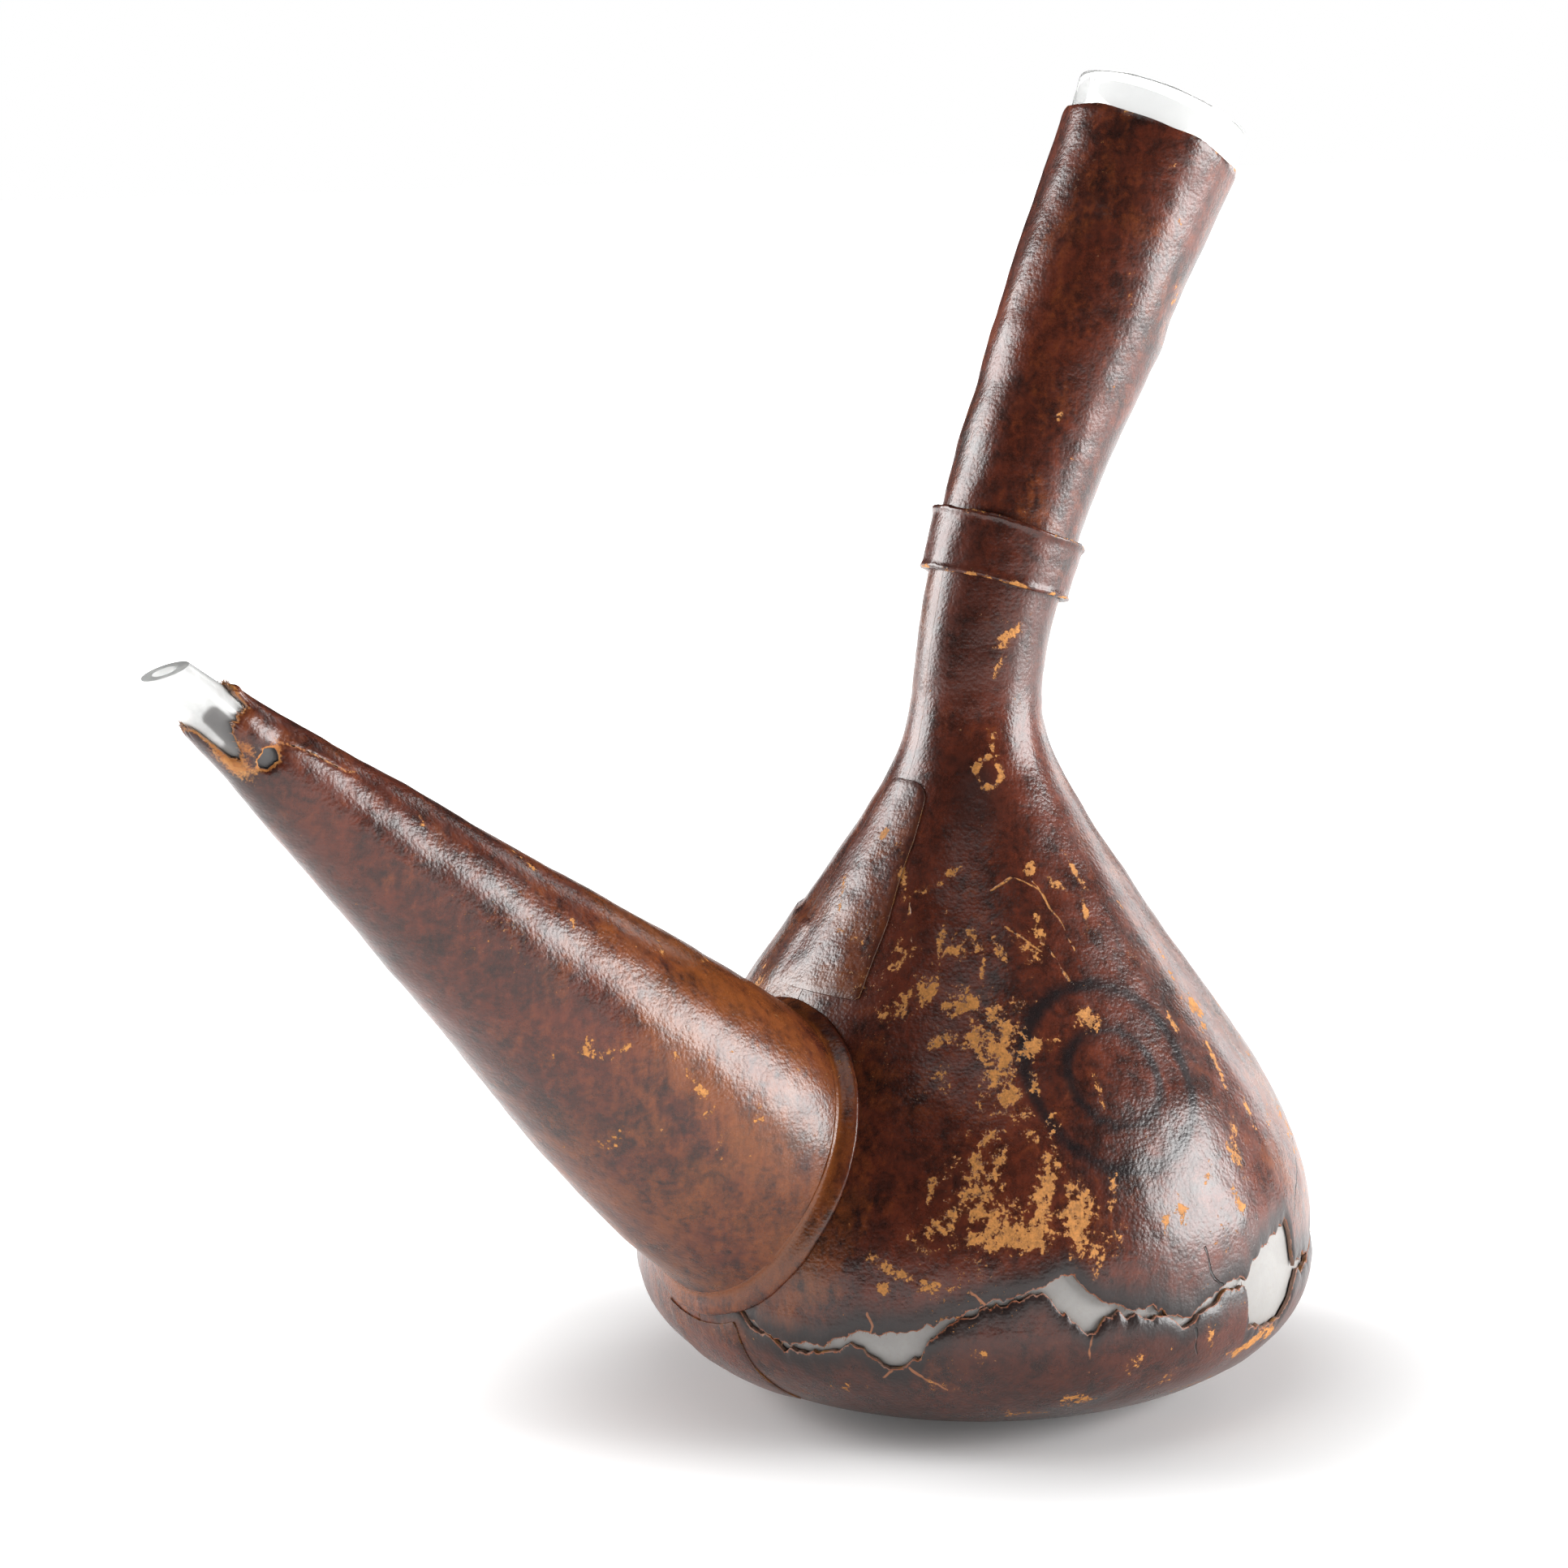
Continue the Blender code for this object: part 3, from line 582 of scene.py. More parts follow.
class Shader:
    """A material's node tree, built from expressions."""

    def __init__(self, name):
        old = bpy.data.materials.get(name)
        if old is not None:
            bpy.data.materials.remove(old)
        self.material = bpy.data.materials.new(name)
        self.material.use_nodes = True
        self.tree = self.material.node_tree
        self.tree.nodes.clear()
        self.place = self.add("ShaderNodeTexCoord", output="Object")

    def add(self, kind, settings=None, sockets=None, output=0):
        """Add a node, set its settings first, then its sockets' values or links."""
        node = self.tree.nodes.new(kind)
        for setting, value in (settings or {}).items():
            if setting == "stops":
                while len(node.color_ramp.elements) < len(value):
                    node.color_ramp.elements.new(1.0)
                for element, (position, colour) in zip(node.color_ramp.elements, value):
                    element.position = position
                    element.color = (*colour, 1.0)
            else:
                setattr(node, setting, value)
        for socket, value in (sockets or {}).items():
            if isinstance(value, Number):
                self.tree.links.new(value.socket, node.inputs[socket])
            elif isinstance(value, tuple) and node.inputs[socket].type == "RGBA":
                node.inputs[socket].default_value = (*value, 1.0)
            else:
                node.inputs[socket].default_value = value
        return Number(self, node.outputs[output]) if node.outputs else None

    def noise(self, size, detail=3.0, roughness=0.5, stretch=None, twist=0.0):
        """Noise with features of about this size in millimetres."""
        place = self.place
        if stretch is not None:
            place = self.add("ShaderNodeMapping", {}, {"Vector": place, "Scale": stretch})
        return self.add("ShaderNodeTexNoise", {}, {
            "Vector": place, "Scale": 1000.0 / size, "Detail": detail,
            "Roughness": roughness, "Distortion": twist})

    def cells(self, size, feature="F1", output="Distance"):
        return self.add("ShaderNodeTexVoronoi", {"feature": feature},
                        {"Vector": self.place, "Scale": 1000.0 / size}, output)

    def mark(self, name):
        return self.add("ShaderNodeAttribute", {"attribute_name": name}, output="Fac")

    def mix(self, share, first, second):
        """Mix two colours."""
        return self.add("ShaderNodeMix", {"data_type": "RGBA"},
                        {0: share, 6: first, 7: second}, 2)

    def wander(self, size, reach):
        """The place, moved about by noise so that straight marks waver."""
        push = self.add("ShaderNodeTexNoise", {}, {
            "Vector": self.place, "Scale": 1000.0 / size, "Detail": 2.0}, "Color")
        centred = self.add("ShaderNodeVectorMath", {"operation": "SUBTRACT"},
                           {0: push, 1: (0.5, 0.5, 0.5)})
        scaled = self.add("ShaderNodeVectorMath", {"operation": "SCALE"},
                          {0: centred, "Scale": reach * MM * 2})
        return self.add("ShaderNodeVectorMath", {"operation": "ADD"},
                        {0: self.place, 1: scaled})

    def run_distance(self, place, start, end):
        """Distance in metres from a straight run between two points."""
        run = Vector(end) - Vector(start)
        offset = self.add("ShaderNodeVectorMath", {"operation": "SUBTRACT"},
                          {0: place, 1: tuple(start)})
        along = self.add("ShaderNodeVectorMath", {"operation": "DOT_PRODUCT"},
                         {0: offset, 1: tuple(run / run.length_squared)}, "Value")
        share = self.add("ShaderNodeClamp", {}, {"Value": along})
        nearest = self.add("ShaderNodeVectorMath", {"operation": "SCALE"},
                           {0: tuple(run), "Scale": share})
        return self.add("ShaderNodeVectorMath", {"operation": "DISTANCE"},
                        {0: offset, 1: nearest}, "Value")

    def line(self, place, runs, half_width):
        """1 on a mark made of straight runs, 0 beyond its half width in mm."""
        gaps = []
        for run in runs:
            spots = [skin_spot(*point) for point in run]
            gaps += [self.run_distance(place, a, b) for a, b in zip(spots[:-1], spots[1:])]
        nearest = reduce(lambda one, two: one.maths("MINIMUM", two), gaps)
        return 1.0 - nearest.step(half_width * 0.45 * MM, half_width * MM)

    def finish(self, surface):
        self.add("ShaderNodeOutputMaterial", {}, {"Surface": surface})
        return self.material


def skin_spot(degrees, height):
    """The point in metres on the body's leather at an angle and height."""
    lengths = np.linspace(0.0, body.length[-1], 900)
    outside = body.point(np.full(900, float(degrees)), lengths, GLASS_BASE)
    return Vector(outside[np.argmin(np.abs(outside[:, 2] - height))] * MM)


def leather_material(name, dark, red, warm, tan, marks=False):
    """Glazed leather: mottled, grained, scuffed and flaked down to the tan. With
    marks it also gets the body's cracks, splits and scratches."""
    shader = Shader(name)
    clouds = shader.noise(26.0, 3.0)
    patches = shader.noise(7.0, 5.0, 0.6, twist=0.4)
    specks = shader.noise(1.5, 4.0, 0.65)
    fine = shader.noise(0.5, 3.0, 0.6)
    streaks = shader.noise(2.4, 4.0, 0.62, stretch=(1.0, 1.0, 0.2))
    smudges = shader.noise(3.4, 4.0, 0.6, twist=0.8)
    blotch = patches * 0.38 + clouds * 0.36 + streaks * 0.26
    blotch = blotch + (smudges - 0.5) * 0.5 + (specks - 0.5) * 0.3
    colour = shader.mix(blotch.step(0.3, 0.72), dark, red)
    warmth = shader.mark("warm") + (shader.noise(15.0, 4.0, 0.6) - 0.58) * 1.5
    warmth = warmth + (specks - 0.5) * 0.6 + (smudges - 0.5) * 0.8 + (streaks - 0.5) * 1.1
    warmth = warmth.step(0.0, 1.0)
    colour = shader.mix(warmth * 0.74, colour, warm)
    shade = shader.mark("char") * (0.35 + patches * 1.3) + (specks - 0.5) * 0.2
    shade = shade + (smudges - 0.5) * 0.3
    charred = shade.step(0.12, 0.85)
    colour = shader.mix(charred * 0.88, colour, (0.013, 0.0105, 0.0105))
    pinholes = (1.0 - shader.cells(2.4).step(0.02, 0.2)) * (fine - 0.1).step(0.3, 0.5)
    colour = shader.mix(pinholes * 0.35, colour, (0.014, 0.008, 0.007))

    ragged = (shader.noise(0.9, 5.0, 0.7) - 0.5) * 2.0
    ragged = ragged + (shader.noise(3.0, 3.0, 0.6) - 0.5) * 2.3
    flaked = (shader.mark("worn") + ragged).step(0.755, 0.79)
    stray = (shader.noise(1.1, 5.0, 0.7) + (shader.noise(30.0, 2.0) - 0.5) * 0.6).step(0.735, 0.765)
    flaked = flaked.top(stray * 0.75)
    rubbed = (shader.mark("worn") + ragged * 0.8).step(0.42, 0.8)
    colour = shader.mix(rubbed * 0.3, colour, warm)

    grain = shader.cells(0.95) * 0.65 + shader.cells(0.55) * 0.35
    wrinkles = shader.noise(1.9, 3.0, 0.6, stretch=(0.45, 0.45, 2.4))
    height = grain * -0.5 + wrinkles * 0.3 + patches * 0.3 + specks * 0.2

    if marks:
        wavering = shader.wander(5.0, 1.1)
        cracks = shader.line(wavering, CRACKS, 0.42)
        splits = shader.line(wavering, SPLITS, 0.36)
        scratches = shader.line(wavering, SCRATCHES, 0.34) * (specks.step(0.42, 0.5))
        colour = shader.mix(cracks * 0.92, colour, (0.006, 0.005, 0.005))
        colour = shader.mix(splits * 0.9, colour, (0.36, 0.13, 0.05))
        flaked = flaked.top(scratches * 0.85)
        height = height - cracks * 3.0
    tan_shade = shader.mix((fine + specks - 0.5).step(0.2, 0.8), tuple(
        value * 0.5 for value in tan), tan)
    colour = shader.mix(flaked, colour, tan_shade)
    painted = shader.mark("paint") * (specks + patches * 0.6).step(0.36, 0.6) * (1.0 - flaked)
    colour = shader.mix(painted * 0.85, colour, (0.009, 0.008, 0.009))

    fibres = (shader.mark("raw") + (fine - 0.5) * 0.9).step(0.45, 0.8)
    pale = (0.3, 0.145, 0.1) if marks else (0.5, 0.22, 0.06)
    ruddy = (0.3, 0.085, 0.03) if marks else (0.42, 0.145, 0.028)
    fibre_tone = shader.mix(smudges.step(0.4, 0.6), pale, ruddy)
    colour = shader.mix(fibres, colour, fibre_tone)

    roughness = 0.28 + (patches - 0.5) * 0.16 + (fine - 0.5) * 0.1
    roughness = roughness + charred * 0.06 + flaked * 0.42 + fibres * 0.3
    height = height - flaked * 0.9
    bump = shader.add("ShaderNodeBump", {}, {
        "Strength": 0.62, "Distance": 0.00022, "Height": height})
    surface = shader.add("ShaderNodeBsdfPrincipled", {}, {
        "Base Color": colour, "Roughness": roughness, "Normal": bump,
        "IOR": 1.5, "Specular IOR Level": 0.5})
    return shader.finish(surface)


def raw_material():
    """The cut, fibrous side of the leather."""
    shader = Shader("raw_leather_edge")
    fibres = shader.noise(0.4, 5.0, 0.7)
    patches = shader.noise(5.0, 3.0)
    colour = shader.mix(fibres, (0.16, 0.085, 0.06), (0.5, 0.33, 0.26))
    colour = shader.mix(patches.step(0.5, 0.62), colour, (0.42, 0.2, 0.07))
    bump = shader.add("ShaderNodeBump", {}, {"Strength": 0.8, "Distance": 0.0002,
                                              "Height": fibres})
    surface = shader.add("ShaderNodeBsdfPrincipled", {}, {
        "Base Color": colour, "Roughness": 0.9, "Normal": bump})
    return shader.finish(surface)


def glass_material():
    """Clear glass where it is bare, and old glue film where leather was."""
    shader = Shader("porron_glass")
    smears = shader.noise(9.0, 5.0, 0.6, twist=0.6)
    dust = shader.noise(0.8, 4.0, 0.65)
    film = shader.mark("film")
    cover = (film + (smears - 0.5) * 0.5).step(0.3, 0.72)
    clear = shader.add("ShaderNodeBsdfPrincipled", {}, {
        "Base Color": (0.97, 0.98, 0.975), "Roughness": 0.03, "IOR": 1.45,
        "Transmission Weight": 1.0})
    milky = shader.add("ShaderNodeBsdfPrincipled", {}, {
        "Base Color": (0.86, 0.86, 0.85), "Roughness": 0.25})
    frost = shader.mark("frost") * (0.35 + smears)
    clear = shader.add("ShaderNodeMixShader", {}, {0: frost, 1: clear, 2: milky})
    grey = shader.mix(smears, (0.26, 0.25, 0.24), (0.42, 0.405, 0.39))
    grey = shader.mix(dust.step(0.5, 0.75) * 0.4, grey, (0.3, 0.26, 0.21))
    grey = shader.mix(shader.mark("soot"), grey, (0.06, 0.056, 0.056))
    dull = shader.add("ShaderNodeBump", {}, {"Strength": 0.3, "Distance": 0.0001,
                                              "Height": dust})
    glued = shader.add("ShaderNodeBsdfPrincipled", {}, {
        "Base Color": grey, "Roughness": 0.34 + smears * 0.2, "Normal": dull})
    surface = shader.add("ShaderNodeMixShader", {}, {0: cover * 0.96, 1: clear, 2: glued})
    return shader.finish(surface)


def floor_material():
    """White sweep: it glows more with distance, so that no edge shows, and its weak glow near the
    middle is a painted shadow round the porron's base.
    """
    shader = Shader("studio_floor")
    reach = shader.add("ShaderNodeVectorMath", {"operation": "LENGTH"}, {0: shader.place}, "Value")
    # Painted shadow: the glow is weakest under and round the base, so the floor is darker there
    # whatever the lamps do
    glow_with_painted_shadow = 0.07 + reach.step(0.05, 0.165) * 1.02 + reach.step(0.4, 1.3) * 0.5
    white = shader.add("ShaderNodeCombineColor", {}, {"Red": glow_with_painted_shadow, "Green": glow_with_painted_shadow, "Blue": glow_with_painted_shadow})
    surface = shader.add("ShaderNodeBsdfPrincipled", {}, {
        "Base Color": (0.86, 0.86, 0.86), "Roughness": 0.62, "Specular IOR Level": 0.25,
        "Emission Color": white, "Emission Strength": 1.0})
    return shader.finish(surface)


made_materials = {}


def material(name):
    """Make each material once, with the colours in the panel."""
    if not made_materials:
        tones = bpy.context.scene.porron_leather
        colours = [tuple(tone) for tone in (tones.dark, tones.red, tones.warm, tones.tan)]
        made_materials["body"] = leather_material("glazed_body_leather", *colours, marks=True)
        made_materials["leather"] = leather_material("glazed_leather", *colours)
        made_materials["raw"] = raw_material()
        made_materials["glass"] = glass_material()
        made_materials["floor"] = floor_material()
    return made_materials[name]


# Pieces --------------------------------------------------------------------

def body_rows(start, end, fine_until, fine, coarse):
    """Lengths along the body's outline between two places, closer at first."""
    low, middle, high = (float(body.length_at(place)) for place in (start, fine_until, end))
    near = np.linspace(low, middle, max(2, round((middle - low) / fine)) + 1)
    far = np.linspace(middle, high, max(2, round((high - middle) / coarse)) + 1)
    return np.concatenate((near, far[1:]))


def grid_values(corners, degrees, rows, closed):
    """Degrees and row lengths at the corners of a clipped grid."""
    columns = np.concatenate((degrees, degrees[:1] + 360)) if closed else degrees
    around = np.interp(corners[:, 0], np.arange(len(columns)), columns)
    lengths = np.interp(corners[:, 1], np.arange(len(rows)), rows)
    return around, lengths


def body_sheet(name, degrees, rows, keep_of, marks_of, lift_of, materials, closed=False):
    """A sheet of leather on the body or neck, cut along keep_of's zero line."""
    angles, lengths = np.meshgrid(degrees, rows, indexing="ij")
    skin = body.point(angles, lengths, GLASS_BASE)
    keep = keep_of(angles, lengths, skin)
    corners, faces = clip_grid(degrees, rows, keep, closed)
    around, lengths = grid_values(corners, degrees, rows, closed)
    skin = body.point(around, lengths, GLASS_BASE)
    lift = lift_of(around, lengths, skin)
    outer = body.point(around, lengths, GLASS_BASE + lift)
    inner = body.point(around, lengths, GLUE_GAP + np.clip(lift, 0.0, None))
    marks = marks_of(around, lengths, skin)
    return wall_solid(name, outer, inner, faces, materials, marks)


def spout_hole(skin):
    """Positive away from the spout's sleeve, negative where it comes out."""
    stands, distance = spout.lift_of(skin)
    return np.where(distance > SPOUT_FREE, stands - GLASS_BASE - GLUE_GAP, 50.0)


def tear_gap(around, skin, edge, seed):
    flat = edge_height(edge, around.ravel(), seed).reshape(around.shape)
    return skin[..., 2] - flat


def char_near(gap):
    """Charcoal-dark leather along a torn edge."""
    return np.clip(1.1 - np.abs(gap) / 7.0, 0.0, 1.0)


def body_marks(around, lengths, skin, flakes, gap=None):
    """Wear, char, warmth and paint of the body's leather."""
    height = skin[:, 2]
    radius = np.hypot(skin[:, 0], skin[:, 1])
    across = np.radians(np.maximum(radius, 10.0))
    worn = spot_strength(flakes, around, height, across)
    ring_degrees, ring_height, ring_radius, ring_width = SCUFF_RING
    ring = np.hypot((around - ring_degrees) * across, height - ring_height)
    worn = np.maximum(worn, 0.95 * np.exp(-((ring - ring_radius) / ring_width) ** 2))
    char = np.zeros(len(height)) if gap is None else char_near(gap)
    char = np.maximum(char, 0.55 * np.exp(-((height - 128) / 12) ** 2)
                      * np.clip(1.2 - np.abs(around + 128) / 26, 0, 1))
    char = np.maximum(char, 0.4 * np.exp(-((height - 160) / 17) ** 2))
    stands, distance = spout.lift_of(skin)
    by_collar = np.where(distance > SPOUT_FREE, np.clip(1.2 - (stands - 5.0) / 9.0, 0.0, 1.0), 0.0)
    warm = 0.42 * by_collar + 0.38 * blend(-84, -50, around) * blend(22, 50, height)
    paint = ornament(around, height, across)
    raw = np.zeros(len(height)) if gap is None else np.exp(-np.abs(gap) / 0.26)
    return {"worn": worn, "char": char, "warm": warm, "paint": paint, "raw": raw}


def ornament(around, height, across):
    """Two plain dark ovals, one inside the other, painted on the front."""
    aside = (around - ORNAMENT_DEGREES) * across
    rise = height - ORNAMENT_HEIGHT
    painted = np.zeros(len(height))
    for half_width, half_height, line in OVALS:
        size = np.sqrt((aside / half_width) ** 2 + (rise / half_height) ** 2)
        away = np.abs(size - 1.0) * min(half_width, half_height)
        painted = np.maximum(painted, np.clip(1.5 - away / line, 0.0, 1.0))
    return painted


def panel_lift(around, lengths, skin, gap=None):
    """Low swellings, wrinkles under the neck and edges that lift off."""
    lift = 0.16 * lumps(skin, 15.0) + 0.07 * lumps(skin, 5.0, 3.0)
    height = skin[:, 2]
    creases = np.exp(-((height - 146) / 12) ** 2)
    squeezed = skin * np.array((0.16, 0.16, 1.0))
    lift = lift + 0.09 * creases * lumps(squeezed, 2.4, 5.0)
    if gap is not None:
        curl = 0.55 + 0.45 * rough(around, 11, 6.0)
        near = np.abs(gap)
        lift = lift + np.clip(curl, 0.0, None) * 0.3 * np.exp(-near / 2.6)
        lift = lift - 0.6 * np.exp(-near / 1.1)
    return np.maximum(lift, -0.6)


class MakeBodyLeather(bpy.types.Operator):
    """Make the two body panels and the torn-off skirt"""

    bl_idname = "porron.make_body_leather"
    bl_label = "Body Leather"

    def execute(self, context):
        materials = [material("body"), material("raw")]
        seam = math.degrees(SEAM_GAP / 2 / BODY_RADIUS)
        band_middle = BAND_START + BAND_HEIGHT / 2 - SEAM_GAP / 2
        front = np.linspace(-180 + seam, -seam, 340)
        back = np.linspace(seam, 180 - seam, 150)

        def upper_keep(around, lengths, skin):
            gap = tear_gap(around, skin, UPPER_EDGE, 1)
            return np.minimum(gap, spout_hole(skin))

        def lower_keep(around, lengths, skin):
            gap = -tear_gap(around, skin, LOWER_EDGE, 2)
            return np.minimum(gap, spout_hole(skin))

        def upper_marks(around, lengths, skin):
            gap = tear_gap(around, skin, UPPER_EDGE, 1)
            return body_marks(around, lengths, skin, BODY_FLAKES, gap)

        def lower_marks(around, lengths, skin):
            gap = tear_gap(around, skin, LOWER_EDGE, 2)
            marks = body_marks(around, lengths, skin, SKIRT_FLAKES, gap)
            marks["char"] = np.maximum(marks["char"] * 0.9, 0.36)
            return marks

        def upper_lift(around, lengths, skin):
            return panel_lift(around, lengths, skin, tear_gap(around, skin, UPPER_EDGE, 1))

        def lower_lift(around, lengths, skin):
            gap = tear_gap(around, skin, LOWER_EDGE, 2)
            settle = blend(4.0, 9.0, skin[:, 2])
            return panel_lift(around, lengths, skin, gap) * settle

        def back_keep(around, lengths, skin):
            return spout_hole(skin)

        def back_marks(around, lengths, skin):
            return body_marks(around, lengths, skin, BODY_FLAKES)

        def back_lift(around, lengths, skin):
            ledge = 0.75 * blend(102.5, 100.5, skin[:, 2]) * blend(60, 96, skin[:, 2])
            ledge = ledge * blend(104, 124, around) * blend(176, 160, around)
            return (panel_lift(around, lengths, skin) + ledge) * blend(4.0, 9.0, skin[:, 2])

        upper = body_rows(14.0, band_middle, 44.0, 0.75, 1.6)
        lower = body_rows(0.0, 42.0, 41.0, 0.8, 0.8)
        whole = body_rows(0.0, band_middle, 4.0, 1.0, 1.6)
        panel = body_sheet("body_panel_front_leather", front, upper, upper_keep, upper_marks,
                           upper_lift, materials)
        finish_piece(panel, "brown_leather", "body_panel_front")
        skirt = body_sheet("base_skirt_front_leather", front, lower, lower_keep, lower_marks,
                           lower_lift, materials)
        finish_piece(skirt, "brown_leather", "base_skirt_front")
        rear = body_sheet("body_panel_back_leather", back, whole, back_keep, back_marks,
                          back_lift, materials)
        finish_piece(rear, "brown_leather", "body_panel_back")
        return {"FINISHED"}


class MakeNeckLeather(bpy.types.Operator):
    """Make the neck sleeve and the band over its joint"""

    bl_idname = "porron.make_neck_leather"
    bl_label = "Neck Leather"

    def execute(self, context):
        materials = [material("leather"), material("raw")]
        around = np.linspace(-180, 180, 121)[:-1]
        start = BAND_START + BAND_HEIGHT / 2 + SEAM_GAP / 2
        top = SHOULDER_HEIGHT + NECK_LENGTH - NECK_BARE_LENGTH
        rows = np.arange(float(body.length_at(start)), float(body.length_at(top + 1.2)), 0.9)
        top_length = float(body.length_at(top))

        def keep(degrees, lengths, skin):
            edge = top_length + 0.35 * rough(degrees.ravel(), 21, 24.0).reshape(degrees.shape)
            return edge - lengths

        def marks(degrees, lengths, skin):
            across = math.radians(17.0)
            worn = spot_strength(NECK_FLAKES, degrees, skin[:, 2], across)
            worn = np.maximum(worn, 0.5 * blend(top_length - 1.2, top_length, lengths))
            return {"worn": worn, "warm": np.full(len(worn), 0.14)}

        def lift(degrees, lengths, skin):
            swell = 0.22 * lumps(skin, 14.0, 2.0) + 0.06 * lumps(skin, 4.0, 6.0)
            dent = np.exp(-((degrees + 18) / 34) ** 2) * np.exp(-((skin[:, 2] - 219) / 4.5) ** 2)
            round_top = -0.4 * blend(top_length - 0.9, top_length + 0.3, lengths)
            return swell + 0.8 * dent + round_top

        sleeve = body_sheet("neck_sleeve_leather", around, rows, keep, marks, lift,
                            materials, closed=True)
        finish_piece(sleeve, "brown_leather", "neck_sleeve")
        finish_piece(self.make_band(), "band_leather", "neck_band")
        return {"FINISHED"}

    def make_band(self):
        """A flat strap bent round the neck, thicker along its rolled lips."""
        around = np.linspace(-180, 180, 141)[:-1]
        foot = LEATHER + 2 * GLUE_GAP
        section = []
        for step in range(29):
            share = step / 28
            lip = max(math.exp(-(share / 0.07) ** 2), math.exp(-((1 - share) / 0.07) ** 2))
            rounding = 0.7 * max(blend(0.05, 0.0, share), blend(0.95, 1.0, share))
            section.append((share, 1.25 + 0.75 * lip - rounding))
        section += [(1.0, 0.0), (0.75, 0.0), (0.5, 0.0), (0.25, 0.0), (0.0, 0.0)]
        points, worn = [], []
        for degrees in around:
            angle = float(degrees)
            shift = 0.5 * noise.noise((angle / 40.0, 3.3, 0.0)) + 0.25 * noise.noise(
                (angle / 9.0, 7.0, 0.0))
            for share, rise in section:
                place = BAND_START + shift * (1 if share > 0.5 else 0.7) + BAND_HEIGHT * share
                puff = 0.12 * noise.noise((angle / 14.0, share * 3.0, 5.0)) if rise > 0 else 0.0
                length = body.length_at(place)
                points.append(body.point(angle, length, foot + rise + puff))
                edge = min(share, 1 - share)
                patch = 0.72 + 0.95 * noise.noise((angle / 17.0, share * 1.5, 9.0))
                worn.append(patch * math.exp(-(edge / 0.07) ** 2) if rise > 0 else 0.0)
        faces = ring_faces(len(around), len(section))
        marks = {"worn": worn, "char": [0.25] * len(worn)}
        return add_mesh("neck_band_leather", points, faces, [material("leather")], marks)


